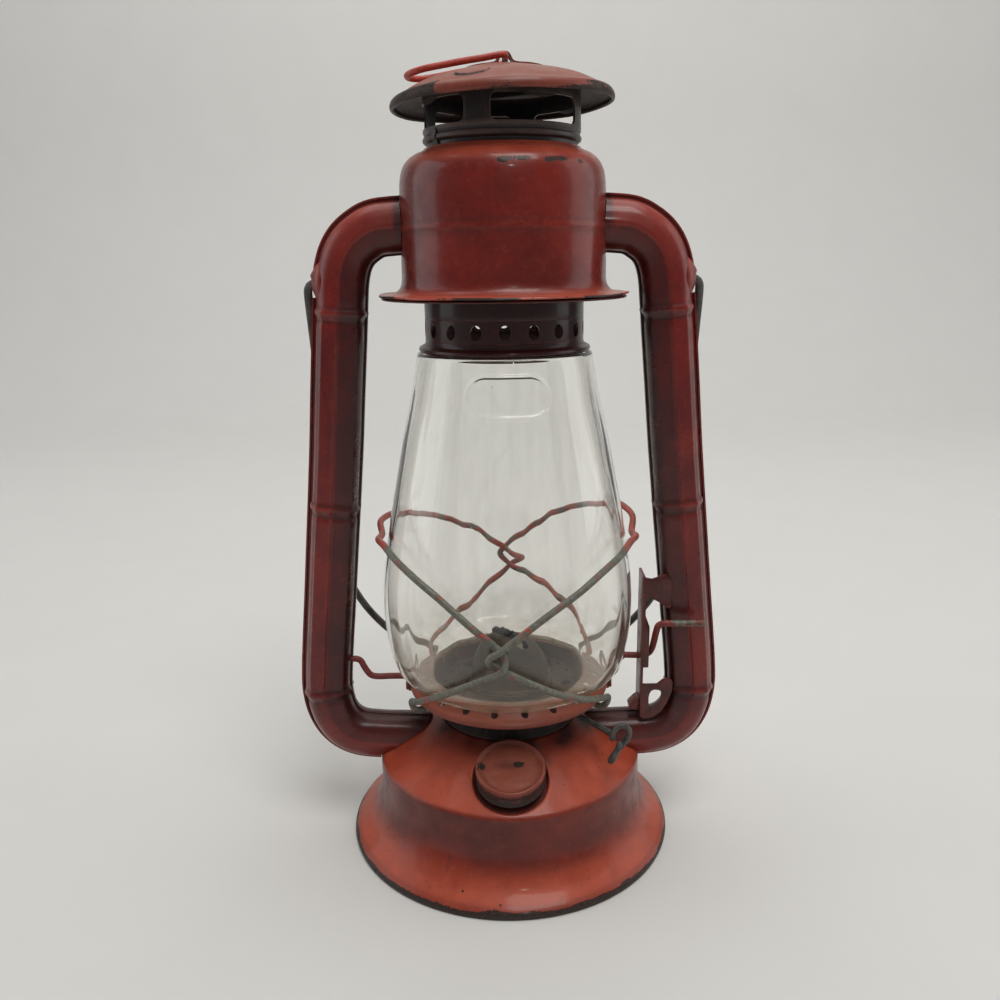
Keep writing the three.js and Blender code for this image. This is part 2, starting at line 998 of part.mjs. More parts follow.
// strap on the apex with a raised middle, and the ring that hinges in it
{
  const top = 309.6,
    mid = 1.5;
  const strap = [
    [mid - 15.5, 306.0],
    [mid - 9, 307.3],
    [mid - 2.6, 307.9],
    [mid - 1.9, top + 1.35],
    [mid + 1.9, top + 1.35],
    [mid + 2.6, 307.9],
    [mid + 9, 306.8],
    [mid + 15.5, 305.4],
    [mid + 15.5, 306.1],
    [mid + 9, 307.5],
    [mid + 3.3, 308.65],
    [mid + 2.5, top + 2.05],
    [mid - 2.5, top + 2.05],
    [mid - 3.3, 308.65],
    [mid - 9, 308.0],
    [mid - 15.5, 306.7],
  ];
  // prism is built in X-Y and turned so that its Y becomes Z
  const m = moved(
    prism(
      strap.map(([x, z]) => [x, z]),
      -4,
      4,
    ),
    RX(90),
  );
  node("ring_clip", solid(m), ORANGE);
  const loop = [];
  const add = (x, y, z) => loop.push(V(x, y, z));
  // closed loop: rod under the strap along Y, legs to the left, round end
  const drop = (x) => top + (x - mid) * 0.155;
  add(mid, -6.2, top);
  add(mid, 0, top);
  add(mid, 6.2, top);
  add(mid - 0.9, 7.9, drop(mid - 0.9));
  add(mid - 3, 8.6, drop(mid - 3));
  add(-14, 8.6, drop(-14));
  for (let i = 0; i <= 8; i++) {
    const a = rad(90 + (i * 180) / 8);
    const x = -25.4 + 8.6 * Math.cos(a);
    add(x, 8.6 * Math.sin(a), drop(x));
  }
  add(-14, -8.6, drop(-14));
  add(mid - 3, -8.6, drop(mid - 3));
  add(mid - 0.9, -7.9, drop(mid - 0.9));
  node("pull_ring", solid(sweep(loop, circle(1.15, 8), { closed: true })), RED);
}

// ---- globe and its plate ----
node(
  "globe",
  solid(
    revolve(
      [
        [34.6, 70.4],
        [39.5, 71.2],
        [43.2, 72.9],
        [46.6, 76.1],
        [49.8, 86.7],
        [51.1, 98],
        [51.2, 111],
        [49.4, 126.3],
        [44.8, 151.1],
        [40, 175.1],
        [37.3, 186.9],
        [35.7, 196.6],
        [33.9, 205.6],
        [31.7, 205.6],
        [33.5, 196.2],
        [35.1, 186.5],
        [37.8, 174.7],
        [47.2, 126.1],
        [49, 110.6],
        [48.9, 98],
        [47.6, 87.2],
        [44.7, 77.4],
        [42, 75],
        [38.8, 73.5],
        [32.9, 72.5],
        [32.6, 70.7],
      ],
      24,
    ),
  ),
  0xe8ece8,
  { transparent: true, opacity: 0.35 },
);
{
  const holes = [];
  for (let i = 0; i < 20; i++)
    holes.push(
      solid(moved(rod(V(37.6, 0, 64), V(37.6, 0, 72), 1.6, 4), RZ(i * 18 + 9))),
    );
  for (let i = 0; i < 8; i++)
    holes.push(
      solid(moved(rod(V(24.5, 0, 60), V(24.5, 0, 66), 2.6, 4), RZ(i * 45))),
    );
  const ears = [];
  for (const side of [-1, 1]) {
    // ear: outline in Y-Z, prism along X
    const pinZ = LIFT_AXIS_Z - CRANK_RADIUS,
      up = LIFT_WIRE + 0.35,
      down = up + 1.5;
    const outline = [
      [-5.5, 62.6],
      [13, 62.6],
      [13, 69],
      [11, 71.7],
      [-2.5, 71.7],
      [-5, 68.5],
    ];
    const slot = [
      [-up, pinZ - down + 0.8],
      [-up + 0.8, pinZ - down],
      [8.05 + up - 0.8, pinZ - down],
      [8.05 + up, pinZ - down + 0.8],
      [8.05 + up, pinZ + up - 0.8],
      [8.05 + up - 0.8, pinZ + up],
      [-up + 0.8, pinZ + up],
      [-up, pinZ + up - 0.8],
    ];
    // (y, z) outline -> prism along x: local x=y, local y=z, local z=x
    const turn = new THREE.Matrix4().makeBasis(V(0, 1, 0), V(0, 0, 1), V(1, 0, 0));
    const plate = cut(
      solid(moved(prism(outline, 42.6, 43.6), turn)),
      solid(moved(prism(slot, 40, 46), turn)),
      );
    const tab = solid(box(39.9, 43, -5.5, 9, 63.6, 64.85));
    const both = join(plate, tab);
    ears.push(side > 0 ? both : null);
  }
  const right = ears[1];
  const m = right.getMesh();
  const pts = [],
    tri = [];
  for (let i = 0; i < m.numVert; i++)
    pts.push(
      V(
        -m.vertProperties[i * m.numProp],
        m.vertProperties[i * m.numProp + 1],
        m.vertProperties[i * m.numProp + 2],
      ),
    );
  for (let i = 0; i < m.triVerts.length; i += 3)
    tri.push([m.triVerts[i], m.triVerts[i + 2], m.triVerts[i + 1]]);
  const left = solid({ v: pts, t: tri });
  const plate = solid(
    revolve([
      [18, 63],
      [30.8, 63],
      [33.2, 69.2],
      [35.8, 69.2],
      [38.9, 67],
      [39, 65.3],
      [40, 64.6],
      [PLATE_RIM_RADIUS, 65.6],
      [41.4, 67.1],
      [39.3, 67.8],
      [36.1, 70],
      [32.6, 70],
      [30.3, 63.8],
      [18, 63.8],
    ]),
  );
  node("globe_plate", cut(join(plate, right, left), ...holes), RED);
}

// ---- guard wires ----
const hook = (az, outRadius = 44.6) => {
  // comes down outside the rim and turns in under it
  const c = Math.cos(rad(az)),
    s = Math.sin(rad(az));
  return [
    [outRadius * c, outRadius * s, 66.2],
    [43.7 * c, 43.7 * s, 63.3],
    [41.2 * c, 41.2 * s, 61.9],
    [38.6 * c, 38.6 * s, 62.6],
    [37.4 * c, 37.4 * s, 64.6],
  ];
};
const LEFT_GUARD = [
  ...hook(207).reverse(),
  [-36.6, -28.6, 70.6],
  [-27.0, -42.4, 79.8],
  [-14.5, -50.9, 88.6],
  [-7.4, -55.0, 93.4],
  [-4.2, -57.1, 95.6],
  [-1.6, -56.0, 98.6],
  [-2.3, -54.2, 101.6],
  [-5.0, -53.0, 104.4],
  [-13.7, -51.8, 111.7],
  [-24.7, -47.4, 120.7],
  [-34.2, -41, 126.8],
  [-42.5, -32, 131.6],
  [-47.6, -22.6, 134],
  [-50.9, -13.2, 133.6],
  [-50.6, -4, 133],
  [-52.3, 5.5, 135.3],
  [-50.4, 15, 135.4],
  [-47.6, 24, 134],
  [-41.4, 33.1, 131.6],
  [-33.2, 41.3, 128],
  [-22.3, 48.2, 122.4],
  [-13.1, 51.5, 117.4],
  [-4.2, 52.8, 111],
  [0, 52.9, 108.2],
  [5, 53.8, 105],
  [8.2, 55.2, 102.9],
  [7.6, 56, 101.4],
  [4.2, 56.8, 99.4],
  [0, 55.6, 96.9],
  [-4.2, 53, 94.2],
  [-18, 47.9, 84.4],
  [-30.4, 38.9, 75.4],
  [-37.4, 26.2, 69.8],
  ...hook(146.5),
];
const RIGHT_GUARD = [
  ...hook(335).reverse(),
  [37.2, -27.4, 70.6],
  [29, -39.6, 76.4],
  [18.2, -47, 82.4],
  [8.1, -51.8, 89],
  [-1.2, -53.0, 94.2],
  [-4.2, -53.1, 95.9],
  [-7.3, -54.4, 98.6],
  [-7.0, -56.0, 101.4],
  [-4.2, -57.2, 103.8],
  [1.2, -55.6, 107.2],
  [13.3, -52.2, 115.4],
  [26.1, -46.9, 123],
  [34.2, -41.4, 128],
  [42.5, -32.4, 132],
  [47.6, -22.8, 134.4],
  [50.9, -13.4, 133.6],
  [50.6, -4.4, 132.6],
  [52.3, 5.8, 136.2],
  [50.3, 15.6, 137.6],
  [47.4, 24.4, 137.4],
  [44.2, 29.6, 135.8],
  [36.9, 38, 133.4],
  [27.1, 45.6, 129],
  [17.2, 50.4, 122.6],
  [8, 53.6, 114.6],
  [3.6, 55.6, 111],
  [0, 56.6, 108.2],
  [-2.7, 56.2, 105.4],
  [-2.2, 55.2, 103.6],
  [0.4, 53.9, 101.7],
  [4.2, 52.9, 99.5],
  [10.6, 51.9, 96.4],
  [24.5, 45.3, 87],
  [33.4, 36.6, 78.4],
  [38.6, 25.8, 70.6],
  ...hook(27),
];
node("guard_wire_left", solid(sweep(curve(LEFT_GUARD, 72), circle(GUARD_WIRE, 5))), STEEL);
node("guard_wire_right", solid(sweep(curve(RIGHT_GUARD, 72), circle(GUARD_WIRE, 5))), STEEL);

// ---- lift: a cranked wire each side, turning on one line across the lantern ----
const PIN_Z = LIFT_AXIS_Z - CRANK_RADIUS;
const LIFT = [
  [42.2, 0, PIN_Z],
  [44.3, 0, PIN_Z],
  [45.3, 0, PIN_Z + 0.9],
  [47.6, 0, LIFT_AXIS_Z - 1],
  [49.3, 0, LIFT_AXIS_Z],
  [57.6, 0, LIFT_AXIS_Z],
  [59.7, -0.6, LIFT_AXIS_Z + 0.9],
  [60.45, -2.4, LIFT_AXIS_Z + 3.2],
  [60.45, -13.2, 93.6],
  [60.9, -14.9, 96.2],
  [62.6, -15.4, 97],
  [79, -15.4, 97],
];
node(
  "lift_wire",
  solid(sweep(LIFT.map((p) => V(...p)), circle(LIFT_WIRE, 8))),
  STEEL,
);
const GUIDE = [
  [-42.2, 0, PIN_Z],
  [-57.6, 0, PIN_Z],
  [-59, 0, PIN_Z + 0.6],
  [-62.4, 0, LIFT_AXIS_Z - 0.7],
  [-64.2, 0, LIFT_AXIS_Z],
  [-69.2, 0, LIFT_AXIS_Z],
];
node(
  "guide_wire",
  solid(sweep(GUIDE.map((p) => V(...p)), circle(LIFT_WIRE, 8))),
  STEEL,
);

// ---- bracket on the right tube ----
{
  const web = box(55.2, 56.2, -8.6, 3.6, 52.6, 114.6);
  // outline in X-Z, prism along Y
  const flange = [
    [55.2, 52.8],
    [56.4, 50.9],
    [60.5, 51.3],
    [64.2, 54],
    [66.6, 58],
    [68.4, 62.8],
    [68.8, 68.2],
    [66.4, 69.4],
    [64.4, 68.9],
    [62.2, 66.9],
    [56.2, 66.9],
    [56.2, 74.4],
    [58.4, 74.4],
    [58.4, 92.6],
    [56.6, 97.6],
    [56.6, 104.6],
    [58.6, 105.2],
    [62, 103.4],
    [65.2, 100.8],
    [66.9, 101.2],
    [66.9, 112.4],
    [64.6, 115.6],
    [62.6, 115.6],
    [60.6, 114.2],
    [58.6, 113.6],
    [55.2, 114.6],
  ];
  const toXZ = new THREE.Matrix4().makeBasis(V(1, 0, 0), V(0, 0, 1), V(0, -1, 0));
  const face = moved(prism(flange, 7.6, 8.6), toXZ);
  const dHole = moved(
    prism(
      [
        [58.9, 55.4],
        [61.4, 56.2],
        [63.2, 58.6],
        [64, 61.6],
        [63.9, 64],
        [58.9, 64],
      ],
      5,
      10,
    ),
    toXZ,
  );
  const tab = moved(
    prism(
      [
        [55.6, 53.2],
        [51.3, 54],
        [51.2, 55],
        [54.6, 58.4],
        [55.6, 58.8],
      ],
      -1,
      6,
    ),
    toXZ,
  );
  node(
    "lift_bracket",
    cut(
      join(solid(web), solid(face), solid(tab)),
      solid(dHole),
      solid(rod(V(53, 0, LIFT_AXIS_Z), V(58, 0, LIFT_AXIS_Z), LIFT_WIRE + 0.4, 14)),
    ),
    RED,
  );
}

// ---- bail ----
{
  const pts = [];
  const add = (x, s) => pts.push(V(x, 0, -s));
  const half = [
    [70.9, 0],
    [72.7, 0],
    [74.2, 0.5],
    [74.9, 1.9],
    [BAIL_HALF, 5],
    [BAIL_HALF, 60],
    [BAIL_HALF, BAIL_ARM],
  ];
  half.forEach(([x, s]) => add(-x, s));
  for (let i = 1; i < 16; i++) {
    const a = (Math.PI * i) / 16;
    add(-BAIL_HALF * Math.cos(a), BAIL_ARM + BAIL_HALF * Math.sin(a) - 0);
  }
  half
    .slice()
    .reverse()
    .forEach(([x, s]) => add(x, s));
  const m = moved(sweep(pts, circle(BAIL_WIRE, 8)), M(T(0, 0, BAIL_Z), RX(BAIL_REST)));
  node("bail", solid(m), BLACK);
}

export default root;
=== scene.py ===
# Cold-blast tubular oil lantern: smooth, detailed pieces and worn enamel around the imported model.
import math

import bmesh
import bpy
import numpy as np
from mathutils import Matrix, Vector, noise


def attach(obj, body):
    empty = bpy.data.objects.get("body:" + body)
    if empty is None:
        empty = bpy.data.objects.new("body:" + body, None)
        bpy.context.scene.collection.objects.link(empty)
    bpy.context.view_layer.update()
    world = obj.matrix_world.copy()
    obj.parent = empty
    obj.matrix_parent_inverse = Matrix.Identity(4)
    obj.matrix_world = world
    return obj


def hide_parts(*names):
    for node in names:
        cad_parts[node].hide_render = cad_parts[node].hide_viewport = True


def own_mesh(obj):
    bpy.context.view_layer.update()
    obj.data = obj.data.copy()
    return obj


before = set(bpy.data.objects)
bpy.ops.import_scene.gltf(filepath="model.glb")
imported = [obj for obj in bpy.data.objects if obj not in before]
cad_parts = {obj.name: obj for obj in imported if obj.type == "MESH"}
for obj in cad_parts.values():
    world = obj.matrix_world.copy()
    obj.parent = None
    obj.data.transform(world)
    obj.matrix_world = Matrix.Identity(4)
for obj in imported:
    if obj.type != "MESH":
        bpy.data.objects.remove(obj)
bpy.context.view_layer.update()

MM = 0.001
rad = math.radians


# ------------------------------------------------------------------ 2D helpers
def arr(p):
    return np.array(p, float)


def chaikin(pts, n=3, closed=False):
    p = arr(pts)
    for _ in range(n):
        if closed:
            q = np.roll(p, -1, 0)
            p = np.stack([0.75 * p + 0.25 * q, 0.25 * p + 0.75 * q], 1).reshape(-1, p.shape[1])
        else:
            a, b = p[:-1], p[1:]
            m = np.stack([0.75 * a + 0.25 * b, 0.25 * a + 0.75 * b], 1).reshape(-1, p.shape[1])
            p = np.vstack([p[:1], m, p[-1:]])
    return p


def fillet(prof, r=0.35, k=3):
    """Rounds the corners of a closed (r, z) outline. Points on the axis stay."""
    p = arr(prof)
    n = len(p)
    out = []
    for i in range(n):
        a, b, c = p[i - 1], p[i], p[(i + 1) % n]
        if b[0] < 1e-6:
            out.append(b)
            continue
        u, v = a - b, c - b
        lu, lv = np.linalg.norm(u), np.linalg.norm(v)
        if lu < 1e-9 or lv < 1e-9:
            continue
        cosang = np.dot(u, v) / (lu * lv)
        ang = math.acos(max(-1, min(1, cosang)))
        if ang > rad(172):
            out.append(b)
            continue
        t = min(r / max(math.tan(ang / 2), 1e-3), 0.42 * lu, 0.42 * lv)
        p0, p1 = b + u / lu * t, b + v / lv * t
        for j in range(k + 1):
            s = j / k
            out.append((1 - s) ** 2 * p0 + 2 * s * (1 - s) * b + s * s * p1)
    return arr(out)


def refine(prof, step, closed=True):
    """Adds points so that no side is longer than step."""
    p = arr(prof)
    n = len(p)
    out = []
    for i in range(n if closed else n - 1):
        a, b = p[i], p[(i + 1) % n]
        if a[0] < 1e-6 and b[0] < 1e-6:
            out.append(a)
            continue
        m = max(1, int(math.ceil(np.linalg.norm(b - a) / step)))
        for j in range(m):
            out.append(a + (b - a) * j / m)
    if not closed:
        out.append(p[-1])
    return arr(out)


def catmull(pts, per=8, closed=False):
    """Centripetal Catmull-Rom through the points."""
    p = arr(pts)
    n = len(p)
    out = []
    for i in range(n if closed else n - 1):
        if closed:
            q = [p[(i - 1) % n], p[i], p[(i + 1) % n], p[(i + 2) % n]]
        else:
            q = [
                p[i - 1] if i > 0 else 2 * p[0] - p[1],
                p[i],
                p[i + 1],
                p[i + 2] if i + 2 < n else 2 * p[-1] - p[-2],
            ]
        t = [0.0]
        for j in range(3):
            t.append(t[-1] + max(np.linalg.norm(q[j + 1] - q[j]), 1e-9) ** 0.5)
        for s in range(per):
            x = t[1] + (t[2] - t[1]) * s / per
            a1 = (t[1] - x) / (t[1] - t[0]) * q[0] + (x - t[0]) / (t[1] - t[0]) * q[1]
            a2 = (t[2] - x) / (t[2] - t[1]) * q[1] + (x - t[1]) / (t[2] - t[1]) * q[2]
            a3 = (t[3] - x) / (t[3] - t[2]) * q[2] + (x - t[2]) / (t[3] - t[2]) * q[3]
            b1 = (t[2] - x) / (t[2] - t[0]) * a1 + (x - t[0]) / (t[2] - t[0]) * a2
            b2 = (t[3] - x) / (t[3] - t[1]) * a2 + (x - t[1]) / (t[3] - t[1]) * a3
            out.append((t[2] - x) / (t[2] - t[1]) * b1 + (x - t[1]) / (t[2] - t[1]) * b2)
    if not closed:
        out.append(p[-1])
    return arr(out)


def spaced(pts, step, closed=False):
    p = arr(pts)
    if closed:
        p = np.vstack([p, p[:1]])
    d = np.r_[0, np.cumsum(np.linalg.norm(np.diff(p, axis=0), axis=1))]
    n = max(2, int(round(d[-1] / step)))
    s = np.linspace(0, d[-1], n + 1)
    q = np.stack([np.interp(s, d, p[:, k]) for k in range(p.shape[1])], 1)
    return q[:-1] if closed else q


def offset_line(pts, t):
    """A strip of thickness t round an open 2D line, as one closed outline."""
    p = arr(pts)
    tan = np.gradient(p, axis=0)
    tan /= np.linalg.norm(tan, axis=1)[:, None] + 1e-12
    nrm = np.stack([-tan[:, 1], tan[:, 0]], 1)
    return np.vstack([p + nrm * t / 2, (p - nrm * t / 2)[::-1]])


def sstep(a, b, x):
    t = np.clip((np.asarray(x, float) - a) / (b - a), 0, 1)
    return t * t * (3 - 2 * t)


def wobble(v, scale, amp, seed=0.0):
    """Smooth displacement value per point, a few hundredths of a millimetre."""
    return np.array([noise.noise(Vector((float(a) / scale + seed, float(b) / scale, float(c) / scale))) for a, b, c in v]) * amp


# ------------------------------------------------------------------ mesh builders
def lathe(prof, n=96, thetas=None):
    """Turns a closed (r, z) outline about Z. Returns points in mm and faces."""
    p = arr(prof)
    th = np.linspace(0, 2 * math.pi, n, endpoint=False) if thetas is None else arr(thetas)
    n = len(th)
    V, rings = [], []
    count = 0
    for r, z in p:
        if r < 1e-6:
            V.append([[0, 0, z]])
            rings.append([count] * n)
            count += 1
        else:
            V.append(np.stack([r * np.cos(th), r * np.sin(th), np.full(n, z)], 1))
            rings.append(list(range(count, count + n)))
            count += n
    F = []
    m = len(p)
    for i in range(m):
        k = (i + 1) % m
        if p[i][0] < 1e-6 and p[k][0] < 1e-6:
            continue
        A, B = rings[i], rings[k]
        for j in range(n):
            l = (j + 1) % n
            f = [A[j], A[l], B[l], B[j]]
            g = []
            for x in f:
                if x not in g:
                    g.append(x)
            if len(g) > 2:
                F.append(g)
    return np.vstack(V), F


def lathe_open(prof, thetas):
    """Same, for an open outline: one sheet."""
    p = arr(prof)
    th = arr(thetas)
    n = len(th)
    V = np.vstack([np.stack([r * np.cos(th), r * np.sin(th), np.full(n, z)], 1) for r, z in p])
    F = [
        [i * n + j, i * n + (j + 1) % n, (i + 1) * n + (j + 1) % n, (i + 1) * n + j]
        for i in range(len(p) - 1)
        for j in range(n)
    ]
    return V, F


def frames(path, closed=False, up=None):
    p = arr(path)
    n = len(p)
    if closed:
        t = np.roll(p, -1, 0) - np.roll(p, 1, 0)
    else:
        t = np.gradient(p, axis=0)
    t /= np.linalg.norm(t, axis=1)[:, None]
    S, W = [], []
    side = None
    for i in range(n):
        if up is not None:
            side = np.cross(t[i], up)
        elif side is None:
            ref = arr([0, 0, 1]) if abs(t[i][2]) < 0.9 else arr([1, 0, 0])
            side = np.cross(t[i], ref)
        else:
            side = side - t[i] * np.dot(side, t[i])
        side = side / np.linalg.norm(side)
        S.append(side)
        W.append(np.cross(side, t[i]))
    S, W = arr(S), arr(W)
    if closed and up is None:
        e = S[-1] - t[0] * np.dot(S[-1], t[0])
        e /= np.linalg.norm(e)
        tw = math.atan2(np.dot(e, W[0]), np.dot(e, S[0]))
        for i in range(n):
            a = -tw * i / n
            s, w = S[i].copy(), W[i].copy()
            S[i] = s * math.cos(a) + w * math.sin(a)
            W[i] = w * math.cos(a) - s * math.sin(a)
    return t, S, W


def tube(path, r, sides=14, closed=False, ends="round", radius=None):
    """Round wire along a path, with domed ends."""
    p = arr(path)
    t, S, W = frames(p, closed)
    a = np.linspace(0, 2 * math.pi, sides, endpoint=False)
    ring = lambda c, s, w, k: c + (np.cos(a)[:, None] * s + np.sin(a)[:, None] * w) * k
    R = np.full(len(p), r) if radius is None else arr(radius)
    rows = [ring(p[i], S[i], W[i], R[i]) for i in range(len(p))]
    if not closed:
        q = 1.0 if ends == "round" else 0.35
        head, tail = [], []
        for b in (75, 50, 25):
            k, d = math.cos(rad(b)), math.sin(rad(b))
            head.append(ring(p[0] - t[0] * r * d * q, S[0], W[0], R[0] * k))
            tail.append(ring(p[-1] + t[-1] * r * d * q, S[-1], W[-1], R[-1] * k))
        rows = head + rows + tail[::-1]
    V = np.vstack(rows)
    m = len(rows)
    F = []
    for i in range(m if closed else m - 1):
        k = (i + 1) % m
        for j in range(sides):
            l = (j + 1) % sides
            F.append([i * sides + j, i * sides + l, k * sides + l, k * sides + j])
    if not closed:
        V = np.vstack([V, p[0] - t[0] * r * q, p[-1] + t[-1] * r * q])
        h, g = len(V) - 2, len(V) - 1
        for j in range(sides):
            l = (j + 1) % sides
            F.append([h, l, j])
            F.append([g, (m - 1) * sides + j, (m - 1) * sides + l])
    return V, F


def sweep(path, sections, up):
    """Closed section(s) along a path; the ends are capped."""
    p = arr(path)
    t, S, W = frames(p, False, arr(up))
    rows = [p[i] + sections[i][:, :1] * S[i] + sections[i][:, 1:] * W[i] for i in range(len(p))]
    n = len(sections[0])
    V = np.vstack(rows)
    F = []
    for i in range(len(p) - 1):
        for j in range(n):
            l = (j + 1) % n
            F.append([i * n + j, i * n + l, (i + 1) * n + l, (i + 1) * n + j])
    h = n // 2
    for o in (0, (len(p) - 1) * n):
        for j in range(h - 1):
            F.append([o + j, o + j + 1, o + n - 2 - j, o + n - 1 - j])
    return V, F


def plate_solid(outline, t0, t1, axis="y", holes=(), bevel=0.25):
    """Flat plate from a 2D outline, with rounded edges, by bmesh."""
    bm = bmesh.new()

    def place(u, v, w):
        return {"y": (u, w, v), "x": (w, u, v), "z": (u, v, w)}[axis]

    loops = [outline, *holes]
    edges = []
    for lp in loops:
        vs = [bm.verts.new(place(u, v, t0)) for u, v in lp]
        edges += [bm.edges.new((vs[i], vs[(i + 1) % len(vs)])) for i in range(len(vs))]
    bmesh.ops.triangle_fill(bm, edges=edges, use_beauty=True)
    faces = list(bm.faces)
    ext = bmesh.ops.extrude_face_region(bm, geom=faces)
    d = arr(place(0, 0, t1 - t0))
    for e in ext["geom"]:
        if isinstance(e, bmesh.types.BMVert):
            e.co += Vector(d)
    bmesh.ops.recalc_face_normals(bm, faces=bm.faces)
    bmesh.ops.dissolve_limit(bm, angle_limit=rad(1), verts=bm.verts, edges=bm.edges)
    if bevel:
        sharp = [e for e in bm.edges if len(e.link_faces) == 2 and e.calc_face_angle(0) > rad(60)]
        bmesh.ops.bevel(bm, geom=sharp, offset=bevel, segments=2, profile=0.5, affect="EDGES")
    bmesh.ops.triangulate(bm, faces=[f for f in bm.faces if len(f.verts) > 4])
    V = arr([v.co for v in bm.verts])
    bm.verts.index_update()
    F = [[v.index for v in f.verts] for f in bm.faces]
    bm.free()
    return V, F


def joined(*parts):
    V, F, o = [], [], 0
    for v, f in parts:
        V.append(v)
        F += [[i + o for i in g] for g in f]
        o += len(v)
    return np.vstack(V), F


def moved(m, matrix):
    M = np.array(matrix, float)
    return m[0] @ M[:3, :3].T + M[:3, 3], m[1]


def boolean(V, F, cutters, op="DIFFERENCE"):
    """Exact boolean in millimetres; returns points and faces."""
    def temp(name, v, f):
        me = bpy.data.meshes.new(name)
        me.from_pydata([tuple(x) for x in v], [], f)
        bm = bmesh.new()
        bm.from_mesh(me)
        bmesh.ops.recalc_face_normals(bm, faces=bm.faces)
        bm.to_mesh(me)
        bm.free()
        o = bpy.data.objects.new(name, me)
        bpy.context.scene.collection.objects.link(o)
        return o

    a = temp("tmp_a", V, F)
    others = []
    for i, (v, f) in enumerate(cutters):
        c = temp(f"tmp_c{i}", v, f)
        others.append(c)
        m = a.modifiers.new(f"b{i}", "BOOLEAN")
        m.operation, m.solver, m.object = op, "EXACT", c
    dg = bpy.context.evaluated_depsgraph_get()
    e = a.evaluated_get(dg)
    me = e.to_mesh()
    v = arr([x.co for x in me.vertices])
    f = [list(p.vertices) for p in me.polygons]
    e.to_mesh_clear()
    for o in [a, *others]:
        d = o.data
        bpy.data.objects.remove(o)
        bpy.data.meshes.remove(d)
    return v, f


MATERIALS = {}


def make(name, mesh, mat, body, rep=(), angle=40, chip=None, tone=None, dark=None, merge=0.0, edge_scale=1.0):
    """Links a piece, computes its wear, dirt and painted-shade attributes and puts it on its body."""
    V, F = mesh
    me = bpy.data.meshes.new(name)
    me.from_pydata((arr(V) * MM).tolist(), [], F)
    bm = bmesh.new()
    bm.from_mesh(me)
    bmesh.ops.remove_doubles(bm, verts=bm.verts, dist=max(merge, 0.002) * MM)
    bmesh.ops.dissolve_degenerate(bm, dist=0.0005 * MM, edges=bm.edges)
    bmesh.ops.recalc_face_normals(bm, faces=bm.faces)
    bm.verts.ensure_lookup_table()
    bm.verts.index_update()
    n = len(bm.verts)
    convex, hollow = np.zeros(n), np.zeros(n)
    for e in bm.edges:
        if len(e.link_faces) != 2:
            continue
        a = math.degrees(e.calc_face_angle_signed(0))
        if a > 3:
            w = min(1, (a - 3) / 18)
            for v in e.verts:
                convex[v.index] = max(convex[v.index], w)
        elif a < -3:
            w = min(1, (-a - 3) / 18)
            for v in e.verts:
                hollow[v.index] = max(hollow[v.index], w)
    bm.to_mesh(me)
    bm.free()
    co = arr([v.co for v in me.vertices]) / MM
    vals = {"edge": convex * edge_scale, "crev": hollow}
    vals["chip"] = np.zeros(n) if chip is None else np.clip(chip(co), 0, 1)
    vals["tone"] = np.zeros(n) if tone is None else np.clip(tone(co), 0, 1)
    vals["dark"] = np.zeros(n) if dark is None else np.clip(dark(co), 0, 1)
    for k, x in vals.items():
        at = me.attributes.new(k, "FLOAT", "POINT")
        at.data.foreach_set("value", np.asarray(x, np.float32))
    me.shade_smooth()
    me.set_sharp_from_angle(angle=rad(angle))
    o = bpy.data.objects.new(name, me)
    bpy.context.scene.collection.objects.link(o)
    me.materials.append(MATERIALS[mat])
    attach(o, body)
    if rep:
        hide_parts(*rep)
    return o


